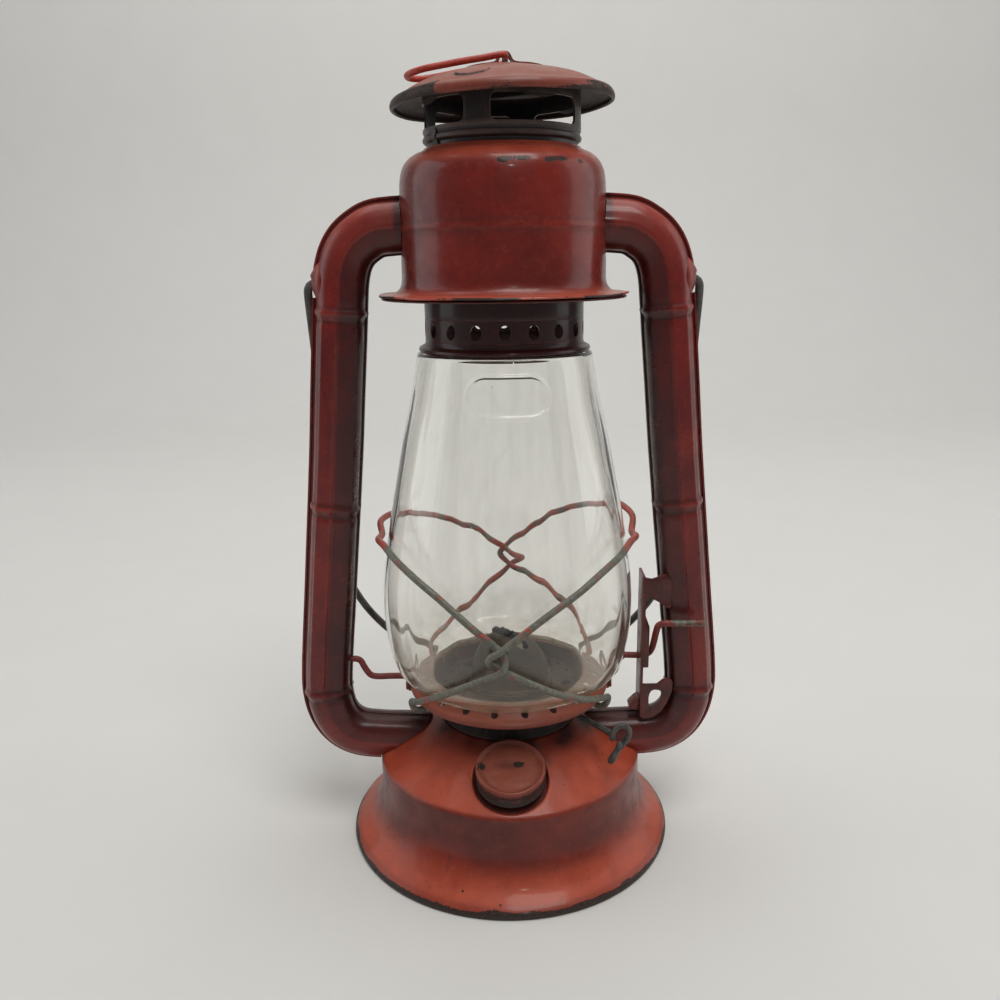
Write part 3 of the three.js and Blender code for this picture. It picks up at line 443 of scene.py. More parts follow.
# ------------------------------------------------------------------ materials
class Nodes:
    def __init__(self, name):
        self.mat = bpy.data.materials.new(name)
        self.mat.use_nodes = True
        self.nt = self.mat.node_tree
        self.nt.nodes.clear()
        self.out = self.nt.nodes.new("ShaderNodeOutputMaterial")
        tc = self.nt.nodes.new("ShaderNodeTexCoord")
        self.obj = tc.outputs["Object"]
        mp = self.nt.nodes.new("ShaderNodeMapping")
        mp.inputs["Scale"].default_value = (1000, 1000, 1000)
        self.nt.links.new(self.obj, mp.inputs["Vector"])
        self.mm = mp.outputs["Vector"]  # object coordinates in millimetres
        geo = self.nt.nodes.new("ShaderNodeNewGeometry")
        self.geo = geo

    def link(self, a, b):
        if isinstance(a, (int, float)):
            b.default_value = a
        elif isinstance(a, (tuple, list)):
            b.default_value = a if len(a) == len(b.default_value) else (*a, 1)
        else:
            self.nt.links.new(a, b)

    def attr(self, name):
        n = self.nt.nodes.new("ShaderNodeAttribute")
        n.attribute_type = "GEOMETRY"
        n.attribute_name = name
        return n.outputs["Fac"]

    def scale(self, v, s):
        m = self.nt.nodes.new("ShaderNodeMapping")
        self.link(v, m.inputs["Vector"])
        m.inputs["Scale"].default_value = s
        return m.outputs["Vector"]

    def shift(self, v, d):
        m = self.nt.nodes.new("ShaderNodeMapping")
        self.link(v, m.inputs["Vector"])
        m.inputs["Location"].default_value = d
        return m.outputs["Vector"]

    def noise(self, size, detail=3, rough=0.55, vec=None, seed=0.0, dist=0.0):
        """Noise whose features are about size millimetres across."""
        n = self.nt.nodes.new("ShaderNodeTexNoise")
        n.noise_dimensions = "4D"
        n.inputs["W"].default_value = seed
        self.link(vec if vec is not None else self.mm, n.inputs["Vector"])
        n.inputs["Scale"].default_value = 1 / size
        n.inputs["Detail"].default_value = detail
        n.inputs["Roughness"].default_value = rough
        n.inputs["Distortion"].default_value = dist
        return n.outputs["Fac"]

    def cells(self, size, seed=0.0, feature="F1", rand=1.0, vec=None):
        n = self.nt.nodes.new("ShaderNodeTexVoronoi")
        n.voronoi_dimensions = "4D"
        n.feature = feature
        n.inputs["W"].default_value = seed
        self.link(vec if vec is not None else self.mm, n.inputs["Vector"])
        n.inputs["Scale"].default_value = 1 / size
        n.inputs["Randomness"].default_value = rand
        return n.outputs["Distance"]

    def math(self, op, a, b=0.0, c=None, clamp=False):
        n = self.nt.nodes.new("ShaderNodeMath")
        n.operation = op
        n.use_clamp = clamp
        self.link(a, n.inputs[0])
        self.link(b, n.inputs[1])
        if c is not None:
            self.link(c, n.inputs[2])
        return n.outputs[0]

    def step(self, x, a, b, lo=0.0, hi=1.0):
        """Smooth map of x from a..b to lo..hi."""
        n = self.nt.nodes.new("ShaderNodeMapRange")
        n.interpolation_type = "SMOOTHSTEP"
        self.link(x, n.inputs["Value"])
        n.inputs["From Min"].default_value = a
        n.inputs["From Max"].default_value = b
        n.inputs["To Min"].default_value = lo
        n.inputs["To Max"].default_value = hi
        return n.outputs["Result"]

    def mix(self, f, a, b, mode="MIX"):
        n = self.nt.nodes.new("ShaderNodeMix")
        n.data_type = "RGBA"
        n.blend_type = mode
        n.clamp_factor = True
        self.link(f, n.inputs["Factor"])
        self.link(a, n.inputs["A"] if False else n.inputs[6])
        self.link(b, n.inputs[7])
        return n.outputs[2]

    def axis(self, v, k):
        s = self.nt.nodes.new("ShaderNodeSeparateXYZ")
        self.link(v, s.inputs[0])
        return s.outputs[k]

    def bump(self, h, dist, strength=1.0, normal=None):
        n = self.nt.nodes.new("ShaderNodeBump")
        n.inputs["Strength"].default_value = strength
        n.inputs["Distance"].default_value = dist * MM
        self.link(h, n.inputs["Height"])
        if normal is not None:
            self.link(normal, n.inputs["Normal"])
        return n.outputs["Normal"]

    def principled(self, **kw):
        n = self.nt.nodes.new("ShaderNodeBsdfPrincipled")
        for k, v in kw.items():
            self.link(v, n.inputs[k.replace("_", " ")])
        return n


def enamel(name, base, deep, fade, fade_amount=0.5, under=(0.02, 0.014, 0.012), speck=1.0, chip=1.0, gloss=0.22, grime_and_fold_shade=(0.012, 0.008, 0.007), metal=(0.16, 0.15, 0.14), coat=0.5, seed=0.0):
    """Old glossy paint on sheet metal: faded on top, dark in the folds (dirt and painted shade), painted shade where
    the piece's dark mask says so, chipped at the edges, with fine specks.
    """
    N = Nodes(name)
    up = N.axis(N.geo.outputs["Normal"], 2)
    big = N.noise(26, 4, 0.6, seed=seed)
    mid = N.noise(6.5, 5, 0.62, seed=seed + 3)
    fine = N.noise(1.1, 4, 0.6, seed=seed + 7)
    tone = N.attr("tone")
    edge = N.attr("edge")
    crev = N.attr("crev")
    chipa = N.attr("chip")
    c = N.mix(N.step(big, 0.3, 0.7), base, deep)
    c = N.mix(N.step(mid, 0.42, 0.75, 0, 0.35), c, deep)
    # faded, dusty paint where it faces up and where the piece says so
    f = N.math("ADD", N.math("MULTIPLY", N.step(up, 0.15, 0.95), fade_amount), tone)
    f = N.math("MULTIPLY", f, N.step(N.math("ADD", big, N.math("MULTIPLY", mid, 0.5)), 0.45, 0.95, 0.45, 1.0), clamp=True)
    c = N.mix(f, c, fade)
    # rubbed edges show a lighter, thinner coat
    rub = N.math("MULTIPLY", edge, N.step(mid, 0.35, 0.62))
    c = N.mix(N.math("MULTIPLY", rub, 0.4), c, fade)
    # dirt and painted shade, near black, in the folds; old oil streaks
    fold_dirt_and_shade = N.math("MULTIPLY", crev, N.step(fine, 0.3, 0.7, 0.5, 1.0))
    c = N.mix(N.math("MULTIPLY", fold_dirt_and_shade, 0.85), c, grime_and_fold_shade)
    streak = N.noise(3.2, 3, 0.5, vec=N.scale(N.mm, (1, 1, 0.16)), seed=seed + 11)
    c = N.mix(N.step(streak, 0.6, 0.78, 0, 0.3), c, grime_and_fold_shade)
    haze = N.step(N.noise(2.2, 6, 0.7, seed=seed + 21), 0.5, 0.72, 0, 0.16)
    c = N.mix(haze, c, (fade[0] * 1.15, fade[1] * 1.6, fade[2] * 1.8))
    # painted shade in near-black red where the piece's dark mask says so (the tubes' glass-facing sides, the cap's
    # skirt in its well, the bell under the hood), and soot and darker patches on the fount
    c = N.mix(N.math("MULTIPLY", N.attr("dark"), N.step(mid, 0.25, 0.6, 0.8, 1.0)), c, (0.018, 0.006, 0.006))
    # fine specks of dirt and rust
    on = N.step(N.noise(9, 2, 0.5, seed=seed + 13), 0.43, 0.55)
    sp = N.math("MULTIPLY", N.step(N.cells(2.1, seed=seed + 1), 0.16, 0.1), on)
    sp2 = N.math("MULTIPLY", N.step(N.cells(5.2, seed=seed + 2), 0.12, 0.085), N.step(N.noise(30, 2, seed=seed + 5), 0.42, 0.5))
    specks = N.math("MULTIPLY", N.math("MAXIMUM", sp, sp2), speck, clamp=True)
    # chips: where the attribute or a sharp edge is strong, with a ragged outline
    ragged = N.math("ADD", N.math("MULTIPLY", fine, 0.55), N.math("MULTIPLY", mid, 0.65))
    lvl = N.math("ADD", N.math("ADD", N.math("MULTIPLY", chipa, 1.05), N.math("MULTIPLY", edge, 0.2 * chip)), N.math("SUBTRACT", ragged, 0.6))
    chips = N.step(lvl, 0.34, 0.4)
    stray = N.step(N.math("ADD", N.noise(7, 6, 0.66, seed=seed + 17), N.math("MULTIPLY", fine, 0.12)), 0.775, 0.795, 0, 1)
    bare = N.math("MAXIMUM", chips, N.math("MULTIPLY", stray, chip), clamp=True)
    c = N.mix(specks, c, (0.03, 0.014, 0.01))
    uc = N.mix(N.step(fine, 0.35, 0.7), under, (under[0] * 2.2 + 0.01, under[1] * 1.6 + 0.004, under[2] * 1.4 + 0.002))
    c = N.mix(bare, c, uc)
    glint = N.math("MULTIPLY", N.step(N.noise(0.8, 2, seed=seed + 19), 0.72, 0.76), N.math("MULTIPLY", edge, bare))
    c = N.mix(glint, c, metal)
    rough = N.step(mid, 0.3, 0.75, gloss, gloss + 0.2)
    rough = N.math("ADD", rough, N.math("MULTIPLY", f, 0.12))
    rough = N.math("ADD", rough, N.math("MULTIPLY", N.math("MAXIMUM", bare, fold_dirt_and_shade), 0.3), clamp=True)
    h = N.math("ADD", N.math("MULTIPLY", mid, 0.25), N.math("MULTIPLY", fine, 0.12))
    h = N.math("SUBTRACT", h, N.math("MULTIPLY", bare, 0.7))
    h = N.math("SUBTRACT", h, N.math("MULTIPLY", specks, 0.35))
    nrm = N.bump(h, 0.16, 0.8)
    p = N.principled(Base_Color=c, Roughness=rough, Normal=nrm)
    p.inputs["Coat Weight"].default_value = coat
    p.inputs["Coat Roughness"].default_value = 0.12
    p.inputs["Specular IOR Level"].default_value = 0.32
    N.link(p.outputs[0], N.out.inputs[0])
    MATERIALS[name] = N.mat
    return N.mat


def soot(name, a, b, seed=0.0, rough=0.6, gloss=0.0):
    N = Nodes(name)
    big = N.noise(14, 5, 0.62, seed=seed)
    fine = N.noise(0.9, 5, 0.65, seed=seed + 2)
    edge = N.attr("edge")
    c = N.mix(N.step(big, 0.3, 0.7), a, b)
    run = N.noise(2.4, 4, 0.6, vec=N.scale(N.mm, (1, 1, 0.2)), seed=seed + 4)
    c = N.mix(N.step(run, 0.5, 0.75, 0, 0.6), c, (0.075, 0.034, 0.024))
    c = N.mix(N.math("MULTIPLY", edge, N.step(big, 0.35, 0.6, 0.1, 0.75)), c, (0.12, 0.075, 0.06))
    c = N.mix(N.step(fine, 0.62, 0.75, 0, 0.5), c, (0.012, 0.009, 0.008))
    r = N.step(big, 0.3, 0.7, rough - 0.14, rough + 0.12)
    p = N.principled(Base_Color=c, Roughness=r, Normal=N.bump(N.math("ADD", N.math("MULTIPLY", fine, 0.5), big), 0.12, 0.9))
    p.inputs["Coat Weight"].default_value = gloss
    p.inputs["Coat Roughness"].default_value = 0.3
    p.inputs["Specular IOR Level"].default_value = 0.25
    N.link(p.outputs[0], N.out.inputs[0])
    MATERIALS[name] = N.mat


def wire_mat(name, steel, steel2, paint, paint_amount, seed=0.0, rust=(0.1, 0.035, 0.018)):
    """Bare wire with what is left of its paint."""
    N = Nodes(name)
    a = N.noise(5.5, 5, 0.66, seed=seed)
    b = N.noise(1.3, 4, 0.6, seed=seed + 2)
    fine = N.noise(0.45, 3, 0.6, seed=seed + 4)
    tone = N.attr("tone")
    c = N.mix(N.step(b, 0.35, 0.65), steel, steel2)
    c = N.mix(N.step(a, 0.55, 0.72, 0, 0.6), c, rust)
    m = N.math("ADD", N.math("MULTIPLY", tone, 0.42), N.math("ADD", N.math("MULTIPLY", a, 0.75), N.math("MULTIPLY", b, 0.3)))
    left = N.step(m, 0.86 - paint_amount, 0.9 - paint_amount)
    pc = N.mix(N.step(b, 0.4, 0.7, 0, 0.7), paint, (paint[0] * 0.45, paint[1] * 0.4, paint[2] * 0.4))
    c = N.mix(left, c, pc)
    r = N.step(fine, 0.3, 0.7, 0.42, 0.68)
    r = N.math("SUBTRACT", r, N.math("MULTIPLY", left, 0.12))
    met = N.math("MULTIPLY", N.math("SUBTRACT", 1.0, left), 0.35)
    h = N.math("ADD", N.math("MULTIPLY", left, 0.8), N.math("MULTIPLY", fine, 0.5))
    p = N.principled(Base_Color=c, Roughness=r, Metallic=met, Normal=N.bump(h, 0.12, 1.0))
    N.link(p.outputs[0], N.out.inputs[0])
    MATERIALS[name] = N.mat


def black_metal(name):
    N = Nodes(name)
    a = N.noise(5, 5, 0.62)
    fine = N.noise(0.6, 4, 0.6, seed=3)
    c = N.mix(N.step(a, 0.35, 0.7), (0.022, 0.023, 0.021), (0.045, 0.042, 0.036))
    c = N.mix(N.step(fine, 0.6, 0.72, 0, 0.6), c, (0.085, 0.05, 0.032))
    c = N.mix(N.math("MULTIPLY", N.attr("edge"), N.step(a, 0.3, 0.6, 0.0, 0.5)), c, (0.13, 0.12, 0.11))
    p = N.principled(Base_Color=c, Roughness=N.step(a, 0.3, 0.7, 0.38, 0.58), Normal=N.bump(N.math("ADD", fine, a), 0.1, 0.8))
    N.link(p.outputs[0], N.out.inputs[0])
    MATERIALS[name] = N.mat


def brass(name):
    N = Nodes(name)
    a = N.noise(6, 5, 0.6)
    fine = N.noise(0.8, 4, 0.6, seed=3)
    c = N.mix(N.step(a, 0.3, 0.7), (0.24, 0.16, 0.07), (0.07, 0.045, 0.026))
    c = N.mix(N.step(fine, 0.58, 0.75, 0, 0.7), c, (0.03, 0.028, 0.02))
    c = N.mix(N.math("MULTIPLY", N.attr("edge"), 0.5), c, (0.42, 0.3, 0.13))
    p = N.principled(Base_Color=c, Roughness=N.step(a, 0.3, 0.7, 0.35, 0.6), Metallic=N.step(fine, 0.4, 0.75, 0.9, 0.4), Normal=N.bump(fine, 0.08, 0.8))
    N.link(p.outputs[0], N.out.inputs[0])
    MATERIALS[name] = N.mat


def cotton(name):
    N = Nodes(name)
    z = N.axis(N.mm, 2)
    char = N.step(z, 86.5, 83.5, 1.0, 0.0)
    wv = N.nt.nodes.new("ShaderNodeTexWave")
    wv.inputs["Scale"].default_value = 1.3
    wv.inputs["Distortion"].default_value = 1.2
    N.link(N.mm, wv.inputs["Vector"])
    fine = N.noise(0.5, 5, 0.7)
    c = N.mix(wv.outputs["Fac"], (0.55, 0.47, 0.36), (0.36, 0.3, 0.22))
    c = N.mix(N.math("SUBTRACT", 1.0, char), (0.012, 0.011, 0.011), c)
    c = N.mix(N.step(fine, 0.4, 0.7, 0, 0.4), c, (0.02, 0.018, 0.016))
    p = N.principled(Base_Color=c, Roughness=0.95, Normal=N.bump(N.math("ADD", fine, N.math("MULTIPLY", wv.outputs["Fac"], 0.5)), 0.3, 1.0))
    N.link(p.outputs[0], N.out.inputs[0])
    MATERIALS[name] = N.mat


def cork(name):
    N = Nodes(name)
    a = N.cells(1.4)
    fine = N.noise(0.5, 4)
    c = N.mix(N.step(a, 0.2, 0.7), (0.2, 0.12, 0.06), (0.1, 0.06, 0.035))
    c = N.mix(N.step(fine, 0.5, 0.75, 0, 0.7), c, (0.04, 0.025, 0.016))
    p = N.principled(Base_Color=c, Roughness=N.step(fine, 0.3, 0.7, 0.75, 0.95), Normal=N.bump(N.math("ADD", a, fine), 0.2, 1.0))
    N.link(p.outputs[0], N.out.inputs[0])
    MATERIALS[name] = N.mat


def glass(name):
    """Clear pressed glass with a light film of dust, heavier and amber low down."""
    N = Nodes(name)
    z = N.axis(N.mm, 2)
    runs = N.noise(5, 4, 0.6, vec=N.scale(N.mm, (1, 1, 0.09)), seed=2)
    fine = N.noise(1.4, 5, 0.7, seed=5)
    blot = N.noise(9, 4, 0.6, seed=8)
    p = N.principled(Base_Color=(0.985, 0.985, 0.965), Roughness=0.015)
    p.inputs["Transmission Weight"].default_value = 1.0
    p.inputs["IOR"].default_value = 1.48
    dusty = N.principled(Base_Color=N.mix(N.step(z, 110, 78), (0.5, 0.47, 0.42), (0.34, 0.26, 0.17)), Roughness=0.9)
    low = N.math("MULTIPLY", N.step(z, 104, 74), N.step(blot, 0.32, 0.66, 0.35, 1.0))
    amount = N.math("ADD", N.math("MULTIPLY", low, 0.2), N.math("MULTIPLY", N.step(runs, 0.4, 0.72), 0.035))
    amount = N.math("ADD", amount, N.math("MULTIPLY", N.step(fine, 0.62, 0.7), 0.03))
    spots = N.math("MULTIPLY", N.step(N.cells(6.5, seed=4), 0.06, 0.04), 0.75)
    amount = N.math("MAXIMUM", amount, spots, clamp=True)
    m = N.nt.nodes.new("ShaderNodeMixShader")
    N.link(amount, m.inputs[0])
    N.link(p.outputs[0], m.inputs[1])
    N.link(dusty.outputs[0], m.inputs[2])
    lp = N.nt.nodes.new("ShaderNodeLightPath")
    tr = N.nt.nodes.new("ShaderNodeBsdfTransparent")
    tr.inputs[0].default_value = (0.93, 0.93, 0.9, 1)
    m2 = N.nt.nodes.new("ShaderNodeMixShader")
    N.link(lp.outputs["Is Shadow Ray"], m2.inputs[0])
    N.link(m.outputs[0], m2.inputs[1])
    N.link(tr.outputs[0], m2.inputs[2])
    N.link(m2.outputs[0], N.out.inputs[0])
    MATERIALS[name] = N.mat


RED = (0.23, 0.019, 0.012)
DEEP = (0.105, 0.009, 0.008)
FADE = (0.44, 0.075, 0.045)
enamel("enamel_tube", (0.2, 0.016, 0.012), (0.095, 0.009, 0.009), (0.4, 0.06, 0.038), fade_amount=0.55, speck=0.35, chip=0.35, gloss=0.24, coat=0.25, seed=1.0)
enamel("enamel_fount", (0.24, 0.026, 0.013), (0.105, 0.012, 0.008), (0.45, 0.075, 0.034), fade_amount=0.6, speck=1.0, chip=1.0, gloss=0.3, coat=0.25, seed=5.0)
enamel("enamel_hood", (0.22, 0.019, 0.012), (0.125, 0.012, 0.008), (0.44, 0.075, 0.04), fade_amount=0.7, speck=0.5, chip=0.8, gloss=0.22, coat=0.3, seed=9.0)
enamel("enamel_cap", (0.26, 0.045, 0.026), (0.13, 0.025, 0.016), (0.27, 0.075, 0.045), fade_amount=0.8, speck=0.9, chip=1.0, gloss=0.36, coat=0.2, seed=13.0)
enamel("enamel_dark", (0.05, 0.008, 0.008), (0.02, 0.005, 0.006), (0.2, 0.04, 0.028), fade_amount=0.4, speck=0.5, chip=0.5, gloss=0.3, coat=0.3, seed=17.0)
enamel("enamel_plate", (0.13, 0.022, 0.015), (0.06, 0.013, 0.01), (0.25, 0.06, 0.038), fade_amount=0.3, speck=1.0, chip=1.0, gloss=0.4, coat=0.15, seed=21.0)
soot("soot", (0.03, 0.022, 0.021), (0.016, 0.013, 0.014), seed=2.0, rough=0.5, gloss=0.25)
soot("soot_matt", (0.016, 0.011, 0.01), (0.008, 0.006, 0.006), seed=6.0, rough=0.72)
soot("burnt", (0.05, 0.036, 0.024), (0.022, 0.016, 0.012), seed=8.0, rough=0.66)
wire_mat("guard_wire", (0.12, 0.125, 0.1), (0.2, 0.2, 0.165), (0.42, 0.075, 0.05), 0.28, seed=3.0)
wire_mat("lift_wire_mat", (0.1, 0.11, 0.085), (0.2, 0.2, 0.16), (0.2, 0.028, 0.022), 0.3, seed=7.0)
wire_mat("ring_wire", (0.03, 0.02, 0.018), (0.06, 0.035, 0.028), (0.5, 0.06, 0.035), 0.52, seed=12.0)
wire_mat("spring_wire", (0.14, 0.13, 0.12), (0.2, 0.19, 0.17), (0.1, 0.04, 0.03), 0.1, seed=15.0)
black_metal("black_wire_mat")
brass("old_brass")
cotton("wick_cotton")
cork("cork_mat")
glass("globe_glass")

# ------------------------------------------------------------------ fount
FOUNT_Z0 = 0.0
lower = [[66.3, 0.0], [67.5, 0.0], [68.05, 0.35], [68.3, 1.2], [68.2, 2.1], [67.6, 2.95], [66.6, 3.85]]
flare = catmull([[66.6, 3.85], [65.2, 5], [61.4, 8.4], [58.4, 13.2], [56.3, 18.3], [55.65, 22.5], [55.6, 26]], 7)
wall = [[55.6, 28.5], [55.6, 31], [55.6, 33.2]]
ridge = catmull([[55.6, 33.2], [55.52, 34.25], [55.2, 35.0], [54.7, 35.65], [53.7, 36.35]], 4)
cone_top = refine([[53.7, 36.35], [29.6, 51.75]], 1.3, closed=False)
inner_top = [[29.2, 52.05], [28.7, 52.2], [27, 52.2], [24, 52.2]]
outer = np.vstack([lower, flare[1:], wall, ridge[1:], cone_top[1:], inner_top])
TOPR = outer[outer[:, 1] > 20]
_o = np.argsort(TOPR[:, 1])


def fount_r(z):
    return np.interp(z, TOPR[_o, 1], TOPR[_o, 0])


TILT = rad(19)
CAP_O = arr([0, -43.2, 50.3])
CX = arr([1, 0, 0])
CY = arr([0, math.cos(TILT), math.sin(TILT)])
CW = arr([0, -math.sin(TILT), math.cos(TILT)])


def cap_local(v):
    d = arr(v) - CAP_O
    return np.stack([d @ CX, d @ CY, d @ CW], -1)


def cap_world(x, y, w):
    x, y, w = np.broadcast_arrays(arr(x), arr(y), arr(w))
    return CAP_O + x[..., None] * CX + y[..., None] * CY + w[..., None] * CW


CAP_M = Matrix([[CX[0], CY[0], CW[0], CAP_O[0]], [CX[1], CY[1], CW[1], CAP_O[1]], [CX[2], CY[2], CW[2], CAP_O[2]], [0, 0, 0, 1]])


def surface_w(rho, phi):
    """Height, along the cap's axis, of the fount's outer surface."""
    x, y = rho * np.cos(phi), rho * np.sin(phi)

    def inside(w):
        p = cap_world(x, y, w)
        return (np.hypot(p[..., 0], p[..., 1]) < fount_r(p[..., 2])) & (p[..., 2] < 52.2)

    hi = np.full(np.shape(x), 12.0)
    lo = hi.copy()
    found = np.zeros(np.shape(x), bool)
    w = 12.0
    while w > -22:
        k = inside(np.full(np.shape(x), w)) & ~found
        lo = np.where(k, w, lo)
        hi = np.where(k, w + 0.25, hi)
        found |= k
        w -= 0.25
    for _ in range(24):
        m = (lo + hi) / 2
        k = inside(m)
        lo = np.where(k, m, lo)
        hi = np.where(k, hi, m)
    return (lo + hi) / 2


def build_fount():
    # finer round the front, where the well is
    th = np.sort(np.r_[np.linspace(rad(-125), rad(-55), 76, endpoint=False), np.linspace(rad(-55), rad(235), 150, endpoint=False)])
    fine = []
    for i in range(len(outer) - 1):
        a, b = outer[i], outer[i + 1]
        m = max(1, int(math.ceil(np.linalg.norm(b - a) / 1.5)))
        fine += [a + (b - a) * j / m for j in range(m)]
    prof = np.vstack([fine, outer[-1:]])
    V, F = lathe_open(prof, th)
    rho0 = 17.2
    L = cap_local(V)
    rho = np.hypot(L[:, 0], L[:, 1])
    drop = (rho < rho0) & (L[:, 2] > -16.5) & (V[:, 1] < 0)
    bm = bmesh.new()
    vs = [bm.verts.new(Vector(v)) for v in V]
    for f in F:
        if not any(drop[i] for i in f):
            bm.faces.new([vs[i] for i in f])
    for i, v in enumerate(vs):
        if drop[i] or not v.link_faces:
            bm.verts.remove(v)

    def rim_loop():
        edges = [
            e
            for e in bm.edges
            if len(e.link_faces) == 1
            and all(np.hypot(*cap_local(arr(v.co))[:2]) < rho0 + 7 and v.co.y < -20 and v.co.z > 25 for v in e.verts)
        ]
        near = {}
        for e in edges:
            for a, b in (tuple(e.verts), tuple(e.verts)[::-1]):
                near.setdefault(a, []).append(b)
        start = edges[0].verts[0]
        loop, prev, cur = [start], None, start
        while True:
            nxt = [x for x in near[cur] if x is not prev]
            n = nxt[0]
            if n is start:
                break
            loop.append(n)
            prev, cur = cur, n
        return loop

    loop = rim_loop()
    phi = np.array([math.atan2(*cap_local(arr(v.co))[[1, 0]]) for v in loop])
    w = surface_w(np.full(len(phi), rho0), phi)
    pos = cap_world(rho0 * np.cos(phi), rho0 * np.sin(phi), w)
    for v, p in zip(loop, pos):
        v.co = Vector(p)
    bmesh.ops.remove_doubles(bm, verts=loop, dist=0.35)
    loop = rim_loop()
    phi = np.array([math.atan2(*cap_local(arr(v.co))[[1, 0]]) for v in loop])
    n = len(loop)
    R = 14.75
    roll = 1.25
    floor = -10.7
    rings = []
    for r in (16.6, R + roll):
        ww = surface_w(np.full(n, r), phi)
        rings.append(cap_world(r * np.cos(phi), r * np.sin(phi), ww + 0.0))
    wa = surface_w(np.full(n, R + roll), phi)
    wr = surface_w(np.full(n, R), phi)
    wb = np.maximum(wr - roll, floor + 0.25)
    for s in (0.2, 0.4, 0.6, 0.8, 1.0):
        rr = (1 - s) ** 2 * (R + roll) + 2 * s * (1 - s) * R + s * s * R
        ww = (1 - s) ** 2 * wa + 2 * s * (1 - s) * (wr + 0.1) + s * s * wb
        rings.append(cap_world(rr * np.cos(phi), rr * np.sin(phi), ww))
    for s in (0.33, 0.66, 1.0):
        ww = wb + (floor + 0.2 - wb) * s
        rings.append(cap_world(R * np.cos(phi), R * np.sin(phi), ww))
    rings.append(cap_world((R - 0.3) * np.cos(phi), (R - 0.3) * np.sin(phi), np.full(n, floor)))
    prev = loop
    for ring in rings:
        cur = [bm.verts.new(Vector(p)) for p in ring]
        for i in range(n):
            k = (i + 1) % n
            bm.faces.new((prev[i], prev[k], cur[k], cur[i]))
        prev = cur
    bmesh.ops.recalc_face_normals(bm, faces=bm.faces)
    bm.verts.index_update()
    V = arr([v.co for v in bm.verts])
    F = [[v.index for v in f.verts] for f in bm.faces]
    bm.free()
    # slow dents of hand-worn sheet
    r = np.hypot(V[:, 0], V[:, 1])
    k = wobble(V, 17, 0.22) * sstep(2, 8, V[:, 2]) * sstep(16.9, 19, np.where(V[:, 1] < 0, np.hypot(*cap_local(V)[:, :2].T), 99))
    V[:, 0] += V[:, 0] / r * k
    V[:, 1] += V[:, 1] / r * k
    me = bpy.data.meshes.new("tmp")
    me.from_pydata([tuple(x) for x in V], [], F)
    bm = bmesh.new()
    bm.from_mesh(me)
    bmesh.ops.recalc_face_normals(bm, faces=bm.faces)
    # point the sheet's faces outwards
    f0 = max(bm.faces, key=lambda f: f.calc_center_median().x)
    if f0.normal.x < 0:
        bmesh.ops.reverse_faces(bm, faces=bm.faces)
    bm.to_mesh(me)
    bm.free()
    o = bpy.data.objects.new("tmp", me)
    bpy.context.scene.collection.objects.link(o)
    m = o.modifiers.new("s", "SOLIDIFY")
    m.thickness = 0.75
    m.offset = -1
    m.use_even_offset = True
    m.thickness_clamp = 0.0
    dg = bpy.context.evaluated_depsgraph_get()
    e = o.evaluated_get(dg)
    t = e.to_mesh()
    v = arr([x.co for x in t.vertices])
    f = [list(p.vertices) for p in t.polygons]
    e.to_mesh_clear()
    bpy.data.objects.remove(o)
    bpy.data.meshes.remove(me)
    return v, f


def fount_chip(v):
    r = np.hypot(v[:, 0], v[:, 1])
    a = np.arctan2(v[:, 1], v[:, 0])
    rim = sstep(66.2, 67.6, r) * sstep(3.6, 2.2, v[:, 2])
    band = rim * (0.5 + 0.3 * np.sin(3 * a + 1) * np.sin(a * 7))
    worn = sstep(-0.2, 0.4, np.array([noise.noise(Vector((float(x) / 13, float(y) / 13, 4.0))) for x, y in v[:, :2]])) * sstep(58, 66, r) * sstep(12, 4, v[:, 2])
    # rubbed patch right of the filler
    patch = 0.35 * np.exp(-(((v[:, 0] - 21) / 6) ** 2 + ((v[:, 1] + 40) / 5) ** 2)) * sstep(36, 38, v[:, 2])
    return band + 0.16 * worn + 0.6 * patch


def fount_dark(v):
    r = np.hypot(v[:, 0], v[:, 1])
    x, y = v[:, 0], v[:, 1]
    ring = 0.9 * sstep(39, 29.5, r) * sstep(38, 40, v[:, 2])
    n = np.array([noise.noise(Vector((float(a) / 9, float(b) / 9, 2.0))) for a, b in v[:, :2]])
    smear = 0.5 * sstep(0.0, 0.45, n) * sstep(50, 40, r) * sstep(36, 38, v[:, 2])
    wall_d = 0.3 * sstep(59.5, 56.4, r) * sstep(12, 20, v[:, 2]) * sstep(35.5, 33.5, v[:, 2])
    return np.clip(ring * (0.7 + 0.6 * n) + smear + wall_d, 0, 0.92)


def fount_tone(v):
    r = np.hypot(v[:, 0], v[:, 1])
    base = 0.6 * sstep(57.0, 60.5, r) * sstep(66.8, 65, r)
    shoulder = 0.55 * sstep(30, 50, r) * sstep(35.2, 36.6, v[:, 2]) * sstep(0, -30, v[:, 1])
    sides = 0.4 * sstep(20, 48, np.abs(v[:, 0])) * sstep(35, 37, v[:, 2])
    return base + np.maximum(shoulder, sides)


make("fount_shell_v", build_fount(), "enamel_fount", "frame", ["fount_shell"], angle=50, chip=fount_chip, tone=fount_tone, dark=fount_dark)
make(
    "fount_floor_v",
    lathe(refine(fillet([[0, 4.4], [57.5, 4.4], [61, 2.6], [63.6, 0.45], [65.9, 0.45], [65.9, 1.55], [64.1, 1.6], [61.5, 3.6], [58, 5.4], [0, 5.4]], 0.5), 4), 96),
    "enamel_dark", "frame", ["fount_floor"], chip=lambda v: 0.25 * sstep(58, 65, np.hypot(v[:, 0], v[:, 1])),
)
make("fount_deck_v", lathe(fillet([[16.3, 31.2], [54.4, 31.2], [54.4, 32], [16.3, 32]], 0.2), 72), "enamel_dark", "frame", ["fount_deck"])


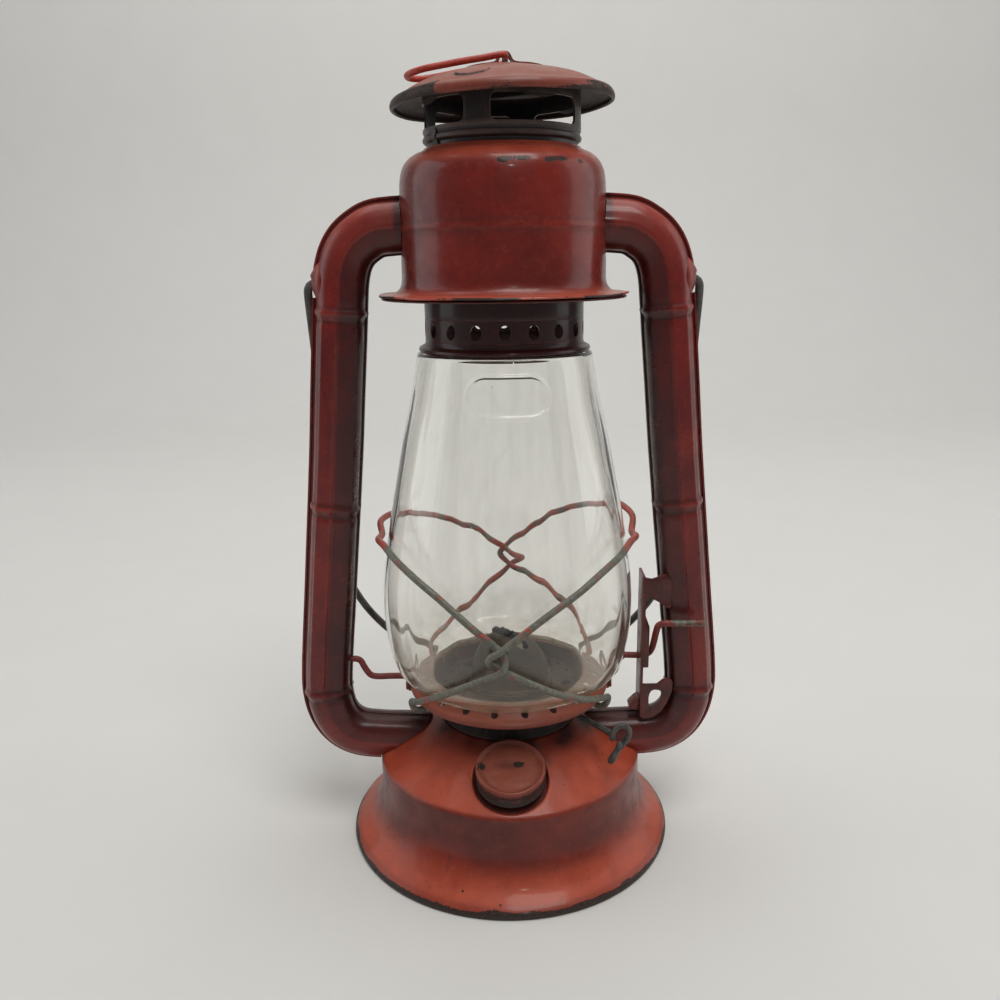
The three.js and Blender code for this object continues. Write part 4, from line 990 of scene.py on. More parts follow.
# filler neck with a real screw ridge, its seat and the well's floor
def build_neck():
    n = 120
    th = np.linspace(0, 2 * math.pi, n, endpoint=False)
    rows = []
    outer_w = np.arange(-13.5, -3.4, 0.28)
    for w in outer_w:
        ph = ((w + 3 * th / (2 * math.pi)) % 3.0) / 3.0
        ridge_ = 0.55 * np.exp(-(((ph - 0.5) / 0.16) ** 2)) * sstep(-3.4, -4.4, w) * sstep(-13.2, -12.2, w)
        r = 11.35 + ridge_
        rows.append(np.stack([r * np.cos(th), r * np.sin(th), np.full(n, w)], 1))
    for r, w in [(11.2, -3.1), (10.8, -2.98), (10.35, -3.1), (10.2, -3.5), (10.2, -14), (10.2, -26.8), (10.5, -27), (11.1, -27), (11.4, -26.7), (11.4, -18)]:
        rows.append(np.stack([r * np.cos(th), r * np.sin(th), np.full(n, w)], 1))
    V = np.vstack(rows)
    m = len(rows)
    F = [[i * n + j, i * n + (j + 1) % n, ((i + 1) % m) * n + (j + 1) % n, ((i + 1) % m) * n + j] for i in range(m) for j in range(n)]
    seat = lathe(fillet([[11.5, -11.35], [14.6, -11.35], [14.6, -10.75], [11.5, -10.75]], 0.15), 96)
    return moved(joined((V, F), seat), CAP_M)


make("filler_neck_v", build_neck(), "enamel_dark", "frame", ["filler_neck"])


# filler cap: crowned top with a rolled rim, toothed lower edge of the rim, plain skirt
def build_cap():
    n = 288
    th = np.linspace(0, 2 * math.pi, n, endpoint=False)
    prof = np.vstack(
        [
            catmull([[0, -0.55], [4, -0.55], [8.5, -0.75], [11.2, -0.95], [12.0, -0.62], [12.55, -0.12], [13.1, -0.08], [13.5, -0.5], [13.62, -1.2]], 5),
            [[13.62, -1.6], [13.62, -2.2], [13.6, -2.75], [13.45, -3.1], [13.1, -3.25], [12.95, -3.6], [12.95, -4.4], [13.0, -5.2], [13.05, -6.2], [13.2, -6.9], [13.45, -7.3], [13.55, -7.6], [13.4, -7.95], [13.0, -8.0], [12.7, -7.7], [12.45, -7.0], [12.4, -5], [12.4, -2.2], [11.8, -1.7], [0, -1.6]],
        ]
    )
    V, F = lathe(prof, n, th)
    r = np.hypot(V[:, 0], V[:, 1])
    a = np.arctan2(V[:, 1], V[:, 0])
    # small teeth on the lower edge of the rim
    t = np.clip(np.cos(a * 72), -1, 1)
    k = np.exp(-(((V[:, 2] + 2.75) / 0.42) ** 2)) * (r > 12.8)
    V[:, 2] += 0.32 * t * k
    d = 0.16 * t * np.exp(-(((V[:, 2] + 2.4) / 0.9) ** 2)) * (r > 13)
    V[:, 0] *= 1 + d / np.maximum(r, 1)
    V[:, 1] *= 1 + d / np.maximum(r, 1)
    # dents in the crown
    top = (V[:, 2] > -1.1) & (r < 11.5)
    dent = -0.55 * np.exp(-(((V[:, 0] - 2.5) / 3.4) ** 2 + ((V[:, 1] - 1.2) / 2.4) ** 2)) - 0.3 * np.exp(-(((V[:, 0] + 4) / 2.6) ** 2 + ((V[:, 1] + 3) / 3) ** 2))
    V[:, 2] += np.where(top, dent, 0) + np.where(top, wobble(V, 3.4, 0.2, 5.0), 0)
    return moved((V, F), CAP_M)


def cap_chip(v):
    l = cap_local(v)
    r = np.hypot(l[:, 0], l[:, 1])
    spot = 0.6 * np.exp(-(((l[:, 0] - 3) / 3.2) ** 2 + ((l[:, 1] - 1.5) / 1.8) ** 2)) * (l[:, 2] > -2)
    left = 0.5 * np.exp(-(((l[:, 0] + 11) / 2) ** 2 + ((l[:, 1] - 0.5) / 2.4) ** 2)) * (l[:, 2] > -2)
    return spot + left + 0.32 * sstep(-1.8, -3.2, l[:, 2]) + 0.12 * sstep(12, 13.3, r)


# dark: painted shade on the lower rim and the skirt, which sit down in the well, and a dark patch on the crown
make("filler_cap_v", build_cap(), "enamel_cap", "filler_cap", ["filler_cap"], chip=cap_chip, tone=lambda v: 0.1 * sstep(-2, -1, cap_local(v)[:, 2]), dark=lambda v: 0.7 * sstep(-1.4, -2.6, cap_local(v)[:, 2]) + 0.55 * np.exp(-(((cap_local(v)[:, 0] + 1.5) / 4.2) ** 2 + ((cap_local(v)[:, 1] - 1) / 2.0) ** 2)), angle=55)
make("cap_gasket_v", moved(lathe(fillet([[7, -2.7], [12.2, -2.7], [12.2, -1.75], [7, -1.75]], 0.3), 72), CAP_M), "cork_mat", "cap_seal", ["cap_gasket"])

# ------------------------------------------------------------------ burner
WA = rad(-45)
WICK_M = Matrix.Rotation(WA, 4, "Z")
make("burner_collar_v", lathe(fillet([[12.7, 28.5], [15.9, 28.5], [15.9, 32.35], [18.5, 32.35], [18.5, 33.15], [15.9, 33.15], [15.9, 37], [12.7, 37]], 0.3), 72), "old_brass", "frame", ["burner_collar"])


def rounded_slot(hx, hy, r, n=6):
    out = []
    for cx, cy, a0 in ((hx - r, hy - r, 0), (-hx + r, hy - r, 90), (-hx + r, -hy + r, 180), (hx - r, -hy + r, 270)):
        for i in range(n + 1):
            a = rad(a0 + 90 * i / n)
            out.append([cx + r * math.cos(a), cy + r * math.sin(a)])
    return out


def prism_slot(hx, hy, r, z0, z1):
    o = rounded_slot(hx, hy, r)
    n = len(o)
    V = arr([[x, y, z0] for x, y in o] + [[x, y, z1] for x, y in o])
    F = [[i, (i + 1) % n, n + (i + 1) % n, n + i] for i in range(n)] + [list(range(n))[::-1], list(range(n, 2 * n))]
    return moved((V, F), WICK_M)


base = lathe(fillet([[11.3, 27], [12.35, 27], [12.35, 37.4], [17.2, 37.4], [17.2, 38.4], [13.6, 38.4], [13.6, 46.8], [16.9, 50.2], [0, 50.2], [0, 49.3], [14.8, 49.3], [12.7, 47.2], [12.7, 38.3]], 0.3), 72)
make("burner_base_v", boolean(*base, [prism_slot(9.35, 2.85, 1.4, 45, 55)]), "old_brass", "frame", ["burner_base"])


def band(r_out, r_in, z0, z1, count, hole_r, z_hole, lip=0.0, phase=0.0, rows=5, ring_n=24, squash=1.0):
    """Cylindrical band with a row of round holes, made of a small grid round each hole."""
    pitch = 2 * math.pi / count
    V, F = [], []
    hw, hz0, hz1 = pitch / 2 * r_out, z0 - z_hole, z1 - z_hole
    angs = np.linspace(0, 2 * math.pi, ring_n, endpoint=False) + math.pi / ring_n
    inner2 = np.stack([hole_r * np.cos(angs) * squash, hole_r * np.sin(angs)], 1)
    outer2 = []
    for a in angs:
        c, s = math.cos(a), math.sin(a)
        k = min(hw / abs(c) if abs(c) > 1e-9 else 1e9, (hz1 if s > 0 else -hz0) / abs(s) if abs(s) > 1e-9 else 1e9)
        outer2.append([c * k, s * k])
    outer2 = arr(outer2)
    # snap four of them to the corners
    for cx, cz in ((hw, hz1), (-hw, hz1), (-hw, hz0), (hw, hz0)):
        i = int(np.argmin(np.hypot(outer2[:, 0] - cx, outer2[:, 1] - cz)))
        outer2[i] = [cx, cz]
    cell = []
    for s in [0, 0.12, 0.3, 0.6, 1.0][:rows]:
        cell.append(inner2 * (1 - s) + outer2 * s)
    nr = len(cell)
    for layer, R in ((0, r_out), (1, r_in)):
        for q in range(count):
            o = len(V)
            for ring in cell:
                for x, z in ring:
                    a = phase + q * pitch + x / r_out
                    V.append([R * math.cos(a), R * math.sin(a), z_hole + z])
            for i in range(nr - 1):
                for j in range(ring_n):
                    l = (j + 1) % ring_n
                    f = [o + i * ring_n + j, o + i * ring_n + l, o + (i + 1) * ring_n + l, o + (i + 1) * ring_n + j]
                    F.append(f if layer == 0 else f[::-1])
    half = len(V) // 2
    per = nr * ring_n
    for q in range(count):
        o = q * per
        for j in range(ring_n):
            l = (j + 1) % ring_n
            F.append([o + l, o + j, half + o + j, half + o + l])
    # top and bottom edges
    V = arr(V)
    for q in range(count):
        o = q * per + (nr - 1) * ring_n
        for j in range(ring_n):
            l = (j + 1) % ring_n
            za, zb = V[o + j][2], V[o + l][2]
            if abs(za - zb) < 1e-6 and (abs(za - z0) < 1e-6 or abs(za - z1) < 1e-6):
                F.append([o + j, o + l, half + o + l, half + o + j])
    return V, F


gal = band(16.8, 16.05, 51.5, 64.5, 8, 1.9, 55.6, ring_n=24)
gal_top = lathe(fillet([[16.05, 64.5], [16.8, 64.5], [17.15, 65.0], [17.15, 65.7], [16.8, 66.1], [16.3, 66.1], [16.05, 65.8]], 0.2), 96)
gal_low = lathe(fillet([[13, 50.7], [16.4, 50.7], [16.8, 51.5], [16.05, 51.5], [13, 51.4]], 0.15), 96)
make("burner_gallery_v", joined(gal, gal_top, gal_low), "soot_matt", "frame", ["burner_gallery"], merge=0.01)


def build_cone():
    o = catmull([[16.6, 67.3], [15.95, 68.1], [15.8, 70], [15.6, 72.6], [14.9, 76], [13.4, 79.6], [11.6, 82.2], [9.2, 84.3], [6.2, 85.8], [3, 86.7], [0, 87.0]], 4)
    i = catmull([[0, 86.3], [3, 86.0], [6, 85.1], [8.8, 83.6], [11, 81.6], [12.7, 79.2], [14.2, 75.8], [14.95, 72.5], [15.15, 70], [15.2, 66.5]], 4)
    V, F = lathe(fillet(np.vstack([[[16.6, 66.4]], o, i]), 0.12, 2), 96)
    V, F = boolean(V, F, [prism_slot(10.6, 2.6, 2.5, 76.5, 92)])
    k = wobble(V, 6, 0.3, 2.0)
    V[:, 2] += k
    return V, F


make("burner_cone_v", build_cone(), "burnt", "burner_cone", ["burner_cone"], angle=45)


def build_wick():
    """Flat woven wick, frayed and burnt at the top."""
    nx, nz = 40, 70
    xs = np.linspace(-7.9, 7.9, nx)
    rows = []
    V, F = [], []
    zs = np.linspace(12, 88.6, nz)
    for side in (-1, 1):
        for i, z in enumerate(zs):
            for j, x in enumerate(xs):
                top = 88.3 + 1.15 * noise.noise(Vector((x / 1.3, side * 0.7, 0.4))) - 0.7 * abs(x / 7.9) ** 3
                zz = 12 + (z - 12) * (top - 12) / (88.6 - 12)
                y = side * (1.2 - 0.25 * abs(x / 7.9) ** 6)
                y += side * 0.12 * math.cos(x * 2.6) * math.cos(z * 1.9)
                if zz > 84:
                    y += 0.55 * noise.noise(Vector((x / 1.6, z / 1.7, side * 3.0)))
                V.append([x, y, zz])
    for s in (0, 1):
        o = s * nx * nz
        for i in range(nz - 1):
            for j in range(nx - 1):
                f = [o + i * nx + j, o + i * nx + j + 1, o + (i + 1) * nx + j + 1, o + (i + 1) * nx + j]
                F.append(f if s == 0 else f[::-1])
    o = nx * nz
    for i in range(nz - 1):
        for j in (0, nx - 1):
            f = [i * nx + j, (i + 1) * nx + j, o + (i + 1) * nx + j, o + i * nx + j]
            F.append(f)
    for i in (0, nz - 1):
        for j in range(nx - 1):
            F.append([i * nx + j, i * nx + j + 1, o + i * nx + j + 1, o + i * nx + j])
    return moved((arr(V), F), WICK_M)


make("wick_v", build_wick(), "wick_cotton", "wick", ["wick"], angle=70)

D = rad(5.3)
SD = arr([math.cos(D), 0, -math.sin(D)])


def shaft_local(s):
    return arr([0, 5.9, 62.1]) + SD * s


def build_shaft():
    """One black wire: straight through the burner, then bent into two loops, one above and one below."""
    X = SD
    Z = np.cross(X, arr([0, 1, 0]))
    Z = Z if Z[2] > 0 else -Z
    Y = arr([0, 1, 0])
    end = shaft_local(55.2)
    P = lambda a, y, z: end + X * a + Y * y + Z * z
    # the loops as the eye sees them: upper one leans to the back, lower one to the front
    pts = [shaft_local(s) for s in np.linspace(-9, 51, 24)]
    loop = [
        P(-2.6, -1.0, -1.2), P(-1.6, -2.2, 0.2), P(-1.2, -2.9, 2.6), P(-0.4, -2.2, 4.9), P(0.9, -0.6, 6.1), P(2.2, 1.2, 5.4), P(2.9, 2.4, 3.0), P(2.5, 2.2, 0.0),
        P(1.4, 1.2, -2.8), P(0.2, 0.2, -5.4), P(-0.8, -1.2, -7.9), P(-0.9, -2.9, -9.4), P(0.4, -4.2, -8.8), P(1.6, -4.2, -6.4), P(1.9, -3.2, -3.6), P(1.7, -1.6, -1.4),
    ]
    path = spaced(catmull(pts + loop, 10), 0.55)
    V, F = tube(path, 1.15, 12)
    return moved((V, F), WICK_M)


make("wick_shaft_v", build_shaft(), "black_wire_mat", "wick_raiser", ["wick_shaft"])

# ------------------------------------------------------------------ air chamber ring
ring = lathe(
    refine(fillet([[24.5, 52.6], [28.0, 52.6], [28.9, 52.9], [28.6, 54.2], [28.5, 56], [28.5, 60.6], [28.8, 61.4], [28.9, 62.2], [28.5, 62.6], [28.0, 62.6], [27.7, 61.5], [27.7, 53.5], [24.5, 53.4]], 0.25), 1.4), 120
)
notch = moved((lambda: (arr([[20, 3.6, 57.2], [34, 3.6, 57.2], [34, 8.2, 57.2], [20, 8.2, 57.2], [20, 3.6, 66], [34, 3.6, 66], [34, 8.2, 66], [20, 8.2, 66]]), [[0, 3, 2, 1], [4, 5, 6, 7], [0, 1, 5, 4], [1, 2, 6, 5], [2, 3, 7, 6], [3, 0, 4, 7]]))(), WICK_M)
make("air_chamber_ring_v", boolean(*ring, [notch]), "soot_matt", "frame", ["air_chamber_ring"])

# ------------------------------------------------------------------ side tubes
LINE = [
    [34, 252.2], [41, 251.9], [48, 251], [52.6, 248.6], [56.6, 245.2], [59.2, 241], [60.8, 236], [61.6, 231], [62.1, 225], [63.35, 210], [65.1, 190],
    [66.8, 170], [68.75, 150], [70.8, 130], [73.45, 104], [75.35, 86], [76.65, 72], [77.0, 63.5], [76.2, 57], [74.5, 51.6], [71.9, 47.3], [68.4, 44.2],
    [63.8, 42.2], [56, 41.2], [46, 40.7], [34, 40.5],
]
TUBE_PATH = spaced(catmull(LINE, 10), 0.9)
BAIL_Z = 232.0
# front half: line of the sheet, from the inner seam over the tube to the outer seam; u outward, v forward
FRONT_STEP = [[-10.1, 0.5], [-9.2, 0.5], [-8.95, 2.2], [-8.75, 4.4], [-7.6, 7.0], [-6.2, 7.75], [-2.4, 8.3], [0.1, 8.65], [0.5, 9.2], [1.5, 9.42], [5.3, 8.5], [6.2, 8.1], [6.5, 7.35], [7.6, 6.1], [8.8, 3.6], [8.95, 1.4], [9.1, 0.55], [9.85, 0.5]]
FRONT_SOFT = [[-10.1, 0.5], [-9.2, 0.5], [-8.95, 2.2], [-8.6, 4.6], [-7.3, 7.0], [-5.8, 8.0], [-2.4, 8.85], [-0.1, 9.15], [0.6, 9.3], [1.5, 9.2], [4.2, 8.35], [5.6, 7.6], [6.5, 6.9], [7.7, 5.6], [8.75, 3.6], [8.95, 1.4], [9.1, 0.55], [9.85, 0.5]]
REAR = [[-10.1, -0.5], [-9.2, -0.5], [-8.95, -2.2], [-8.6, -4.6], [-7.3, -6.9], [-5.6, -8.2], [-2.4, -8.95], [0, -9.05], [2.4, -8.95], [5.6, -8.2], [7.3, -6.9], [8.6, -4.6], [8.95, -2.0], [9.2, -0.62], [10.2, -0.55], [10.9, -0.35], [11.1, 0.15], [11.05, 0.95]]
BEADS = (221.0, 144.5, 63.5)


def tube_half(side, front):
    z = TUBE_PATH[:, 1]
    x = TUBE_PATH[:, 0]
    secs = []
    A, B = chaikin(FRONT_STEP, 3), chaikin(FRONT_SOFT, 3)
    C = chaikin(REAR, 3)
    for i in range(len(TUBE_PATH)):
        straight = sstep(226, 219, z[i]) * sstep(58, 66, z[i]) if x[i] > 55 else 0.0
        line = A * straight + B * (1 - straight) if front else C.copy()
        body = sstep(0.8, 2.4, np.abs(line[:, 1]))
        bead = 0.0
        if x[i] > 58:
            for b in BEADS:
                bead += 0.85 * math.exp(-(((z[i] - b) / 1.15) ** 2)) - 0.32 * math.exp(-(((z[i] - b + 3.2) / 1.1) ** 2))
        # the pressed panel stops short of each bead
        rr = np.hypot(line[:, 0], line[:, 1])
        line = line * (1 + (bead * body / rr)[:, None])
        d = 0.05 * noise.noise(Vector((z[i] / 14, x[i] / 14, side * 2.0 + (0 if front else 5))))
        line = line * (1 + d * body / rr)[:, None]
        sec = offset_line(line, 0.7)
        # sweep's side vector is tangent x up; v runs to the front
        secs.append(np.stack([sec[:, 0], -sec[:, 1]], 1))
    path = np.stack([TUBE_PATH[:, 0], np.zeros(len(TUBE_PATH)), TUBE_PATH[:, 1]], 1)
    V, F = sweep(path, secs, (0, 1, 0))
    # trim to the fount's top and the hood's wall
    cut_f = lathe([[0, 26], [56.5, 26], [56, 33.4], [55.75, 34.8], [54.9, 35.95], [53.9, 36.6], [29.8, 52.0], [28.6, 60], [0, 60]], 120)
    cut_h = lathe([[0, 234], [38.75, 234], [38.55, 250.5], [38.5, 264.6], [38.05, 270], [0, 275]], 120)
    ear = moved(lathe([[0, 70.35], [5.3, 70.35], [5.3, 90], [0, 90]], 32), Matrix.Translation((0, 0, BAIL_Z)) @ Matrix.Rotation(rad(90), 4, "Y"))
    cutters = [cut_f, cut_h, ear]
    if side < 0:
        pin = moved(lathe([[0, -72], [1.75, -72], [1.75, -60], [0, -60]], 24), Matrix.Translation((0, 0, 76.35)) @ Matrix.Rotation(rad(90), 4, "Y"))
        V = V * arr([-1, 1, 1])
        F = [f[::-1] for f in F]
        ear = moved(ear, Matrix.Scale(-1, 4, (1, 0, 0)))
        ear = (ear[0], [f[::-1] for f in ear[1]])
        cutters = [cut_f, cut_h, ear, pin]
    return boolean(V, F, cutters)


def tube_tone(v):
    return 0.3 * sstep(232, 246, v[:, 2]) + 0.18 * sstep(58, 48, v[:, 2])


def tube_chip(v):
    end = 0.2 * sstep(40.5, 39.2, np.abs(v[:, 0])) * sstep(225, 235, v[:, 2])
    foot = 0.3 * sstep(60, 50, np.abs(v[:, 0])) * sstep(60, 50, v[:, 2]) * sstep(5, 9, -v[:, 1] + 4)
    tip = 0.36 * sstep(11.0, 11.4, np.abs(v[:, 1]) * 0 + 0)
    return end + 0.3 * foot + tip * 0


def tube_painted_shade(v):
    """Painted shade on the side of each tube that faces the glass, behind its crease; also darker where the tube meets
    the hood.
    """
    q = np.stack([np.abs(v[:, 0]), v[:, 2]], 1)
    i = ((q[:, None, :] - TUBE_PATH[None, ::4, :2]) ** 2).sum(2).argmin(1) * 4
    t = np.gradient(TUBE_PATH[:, :2], axis=0)
    t /= np.linalg.norm(t, axis=1)[:, None]
    nrm = np.stack([-t[:, 1], t[:, 0]], 1)
    u = ((q - TUBE_PATH[i, :2]) * nrm[i]).sum(1)
    # painted shade on the glass-facing side, behind the crease
    body = 0.62 * sstep(-0.1, -0.9, u) + 0.25 * sstep(-4, -8, u)
    end = 0.8 * sstep(41.2, 39.2, np.abs(v[:, 0])) * (v[:, 2] > 225)
    return np.maximum(body, end)


for side, word in ((-1, "left"), (1, "right")):
    for front in (True, False):
        nm = word + "_tube_" + ("front" if front else "rear")
        # dark: painted shade on each tube's glass-facing side
        make(nm + "_v", tube_half(side, front), "enamel_tube", "frame", [nm], angle=45, tone=tube_tone, chip=tube_chip, dark=tube_painted_shade, edge_scale=0.8)
    prof = catmull([[7.0, 68.6], [6.6, 69.5], [6.0, 70.3], [5.2, 71.05], [4.3, 71.65], [3.6, 72.2], [3.1, 72.6], [2.6, 72.85], [2.2, 72.75]], 4)
    ear_p = np.vstack([prof, [[1.9, 72.3], [1.9, 70.6], [2.4, 69.6], [4.6, 68.6]]])
    ev, ef = lathe(ear_p, 64)
    # the boss is drawn up into the tube's seam at the top and runs out to a point at the foot
    rr = np.hypot(ev[:, 0], ev[:, 1])
    up = -ev[:, 0]
    k = sstep(2.4, 5.5, rr)
    ev[:, 0] -= np.where(up > 0, 1.6, -2.6) * k * np.abs(up) / np.maximum(rr, 1)
    # a small bump on top, over the wire's end
    ev[:, 2] += 0.9 * np.exp(-(((up - 3.2) / 1.5) ** 2 + (ev[:, 1] / 2.2) ** 2)) * sstep(2.1, 2.8, rr)
    m = moved((ev, ef), Matrix.Translation((0, 0, BAIL_Z)) @ Matrix.Rotation(rad(90), 4, "Y"))
    if side < 0:
        m = (m[0] * arr([-1, 1, 1]), [f[::-1] for f in m[1]])
    make(word + "_bail_ear_v", m, "enamel_tube", "frame", [word + "_bail_ear"], tone=lambda v: 0.3 + 0 * v[:, 0])

# ------------------------------------------------------------------ hood
flange = [[43.2, 226.85], [46.9, 226.85], [47.4, 226.95], [47.62, 227.3], [47.4, 227.65], [46.6, 227.75]]
shoulder = catmull([[46.6, 227.75], [43.6, 227.8], [41.2, 228.4], [39.6, 229.9], [38.85, 232.2], [38.65, 236]], 5)
body_o = [[38.6, 240], [38.5, 244], [38.42, 247.5], [38.38, 249.6], [38.52, 250.6], [38.6, 251.4], [38.5, 252.2], [38.32, 253.2], [38.3, 256], [38.3, 260]]
crown = catmull([[38.3, 260], [38.3, 264.6], [38.1, 267.8], [37.6, 270.6], [36.5, 273.3], [34.9, 275.3], [32.9, 276.75], [30.9, 277.6], [29.4, 278.4], [28.9, 279.0]], 5)
inner_h = [[28.5, 279.1], [28.1, 278.9], [28.1, 277.7], [29.9, 276.9], [32.1, 276.1], [33.9, 274.9], [35.3, 273.1], [36.4, 270.6], [37.1, 267.6], [37.5, 264.5], [37.5, 250.5], [37.8, 234], [38.1, 231.5], [39.4, 229.2], [41.2, 227.7], [43.2, 227.2]]
hood_p = refine(np.vstack([flange, shoulder[1:], body_o, crown[1:], inner_h]), 2.4)


def build_hood():
    V, F = lathe(hood_p, 160)
    cuts = []
    for s in (1, -1):
        ang = np.linspace(0, 2 * math.pi, 32, endpoint=False)
        a = np.stack([np.full(32, 30.0), 7.9 * np.cos(ang), 251.9 + 7.9 * np.sin(ang)], 1)
        b = np.stack([np.full(32, 44.0), 7.9 * np.cos(ang), 251.9 + 7.9 * np.sin(ang)], 1)
        vv = np.vstack([a, b]) * arr([s, 1, 1])
        ff = [[i, (i + 1) % 32, 32 + (i + 1) % 32, 32 + i] for i in range(32)] + [list(range(32)), list(range(32, 64))]
        cuts.append((vv, ff))
    V, F = boolean(V, F, cuts)
    r = np.hypot(V[:, 0], V[:, 1])
    k = wobble(V, 16, 0.16, 3.0) * sstep(280, 275, V[:, 2])
    V[:, 0] *= 1 + k / r
    V[:, 1] *= 1 + k / r
    # the flange is a little bent
    f = sstep(41, 47, r) * sstep(230, 228, V[:, 2])
    V[:, 2] += f * wobble(V * arr([1, 1, 0]), 22, 0.35, 8.0)
    return V, F


def hood_chip(v):
    r = np.hypot(v[:, 0], v[:, 1])
    a = np.degrees(np.arctan2(v[:, 1], v[:, 0]))
    top = 0.0
    for az, w, z in ((-80, 8, 272.6), (-91, 3.5, 271.8), (-57, 6.5, 272.6), (-66, 3, 272.0), (-44, 3, 272.2), (-100, 3.5, 269.0), (-95, 1.6, 267.2)):
        top = top + 0.5 * np.exp(-(((a - az) / w) ** 2 + ((v[:, 2] - z) / 1.25) ** 2))
    rim = 0.34 * sstep(46.2, 47.4, r) * (0.6 + 0.4 * np.sin(a / 9))
    return top * (r < 37.9) + rim


make("hood_shell_v", build_hood(), "enamel_hood", "frame", ["hood_shell"], chip=hood_chip, tone=lambda v: 0.75 * sstep(40, 45, np.hypot(v[:, 0], v[:, 1])) + 0.5 * sstep(271.5, 275.5, v[:, 2]), angle=45)
make("hood_floor_v", lathe(refine(fillet([[34.4, 225.65], [46.4, 225.65], [46.8, 226.0], [46.4, 226.4], [35.2, 226.4], [35.2, 229.5], [34.4, 229.5]], 0.25), 3), 128), "enamel_dark", "frame", ["hood_floor"])

# ------------------------------------------------------------------ chimney
PIL, SPAN = -107.5, 71.0
tube_p = [
    [26.9, 226], [27.7, 226], [27.7, 250], [27.7, 279.6], [27.8, 280.4], [28.4, 280.8], [29.0, 281.3], [29.15, 282.0], [28.9, 282.7], [28.45, 283.2], [28.6, 283.8], [28.9, 284.4],
    [28.9, 290], [28.8, 296], [28.7, 300.4], [28.0, 300.4], [28.05, 290], [28.05, 284.3], [27.8, 283.4], [28.0, 282.2], [27.6, 281.6], [26.95, 281.2], [26.9, 260],
]


def window_cutter(mid, half, z0, z1, rc):
    """A round-cornered window, bent round the chimney."""
    R = 28.4
    w = half * R
    o = []
    for cx, cz, a0 in ((w - rc, z1 - rc, 0), (-w + rc, z1 - rc, 90), (-w + rc, z0 + rc, 180), (w - rc, z0 + rc, 270)):
        for i in range(6):
            a = rad(a0 + 90 * i / 5)
            o.append([cx + rc * math.cos(a), cz + rc * math.sin(a)])
    o = refine(arr(o) + arr([1000, 0]), 1.5) - arr([1000, 0])
    n = len(o)
    V = arr([[k * math.cos(mid + x / R), k * math.sin(mid + x / R), z] for k in (24.0, 33.0) for x, z in o])
    F = [[i, (i + 1) % n, n + (i + 1) % n, n + i] for i in range(n)]
    bm = bmesh.new()
    vs = [bm.verts.new(Vector(v)) for v in V]
    for f in F:
        bm.faces.new([vs[i] for i in f])
    for k in (0, 1):
        bmesh.ops.triangle_fill(bm, edges=[bm.edges.get((vs[k * n + i], vs[k * n + (i + 1) % n])) for i in range(n)], use_beauty=True)
    bmesh.ops.recalc_face_normals(bm, faces=bm.faces)
    bm.verts.index_update()
    V2 = arr([v.co for v in bm.verts])
    F2 = [[v.index for v in f.verts] for f in bm.faces]
    bm.free()
    return V2, F2


def build_chimney():
    V, F = lathe(refine(tube_p, 2.2), 160)
    cuts = [window_cutter(rad(PIL + 45 + 90 * i), rad(SPAN / 2), 285.4, 294.2, 2.2) for i in range(4)]
    V, F = boolean(V, F, cuts)
    # angle and radius of each point, which nothing uses; the lap seam of the rolled sheet, left of the front, is the
    # strip made below
    a = np.degrees(np.arctan2(V[:, 1], V[:, 0]))
    r = np.hypot(V[:, 0], V[:, 1])
    return V, F


make("chimney_tube_v", build_chimney(), "soot", "chimney", ["chimney_tube"], angle=38)
# the seam as a thin folded strip on the tube
seam_th = np.linspace(rad(-149), rad(-143), 7)
sv, sf = [], []
zz = np.r_[np.linspace(266, 280.2, 5), [280.9, 281.6, 282.6, 283.4, 284.6]]
rr_ = np.interp(zz, [266, 279.8, 280.9, 281.6, 282.6, 283.4, 284.6], [27.72, 27.72, 28.5, 29.15, 29.0, 28.6, 28.92])
for k in (0.0, 0.42):
    for z, r0 in zip(zz, rr_):
        for t in seam_th:
            sv.append([(r0 + k) * math.cos(t), (r0 + k) * math.sin(t), z])
ns, nz_ = len(seam_th), len(zz)
for k in (0, 1):
    o = k * ns * nz_
    for i in range(nz_ - 1):
        for j in range(ns - 1):
            f = [o + i * ns + j, o + i * ns + j + 1, o + (i + 1) * ns + j + 1, o + (i + 1) * ns + j]
            sf.append(f if k else f[::-1])
o = ns * nz_
for i in range(nz_ - 1):
    for j in (0, ns - 1):
        sf.append([i * ns + j, (i + 1) * ns + j, o + (i + 1) * ns + j, o + i * ns + j])
for i in (0, nz_ - 1):
    for j in range(ns - 1):
        sf.append([i * ns + j, i * ns + j + 1, o + i * ns + j + 1, o + i * ns + j])
make("chimney_lap_seam", (arr(sv), sf), "soot", "chimney", [], angle=60)

cap_o = catmull([[0, 307.35], [4, 307.25], [8, 306.85], [15, 305.55], [20.5, 304.2], [26.6, 302.6], [31, 301.1], [34.5, 299.5], [36.6, 298.3], [37.7, 297.65], [38.7, 297.35], [39.7, 296.9], [40.4, 296.1], [40.8, 295.1], [40.85, 294.3], [40.6, 293.6], [40.2, 293.3]], 5)
cap_i = [[39.7, 293.35], [39.4, 293.8], [39.6, 294.6], [39.4, 295.6], [38.6, 296.3], [37.6, 296.7], [33.9, 298.8], [26.3, 301.8], [14.8, 304.7], [8, 306.0], [0, 306.5]]


OVAL = (-9.8, -30.2)


def oval_dist(v):
    """Distance from the outline of the oval pad on the cap's front left slope, negative inside."""
    a = math.atan2(OVAL[1], OVAL[0])
    x, y = v[:, 0] - OVAL[0], v[:, 1] - OVAL[1]
    t = x * math.cos(a) + y * math.sin(a)
    u = -x * math.sin(a) + y * math.cos(a)
    return (np.hypot(t / 3.9, u / 5.6) - 1) * 4.4


CAP_TILT = Matrix.Translation((0, 0, 300)) @ Matrix.Rotation(rad(-1.9), 4, "Y") @ Matrix.Translation((0, 0, -300))


def tilt_cap(m):
    return moved(m, CAP_TILT)


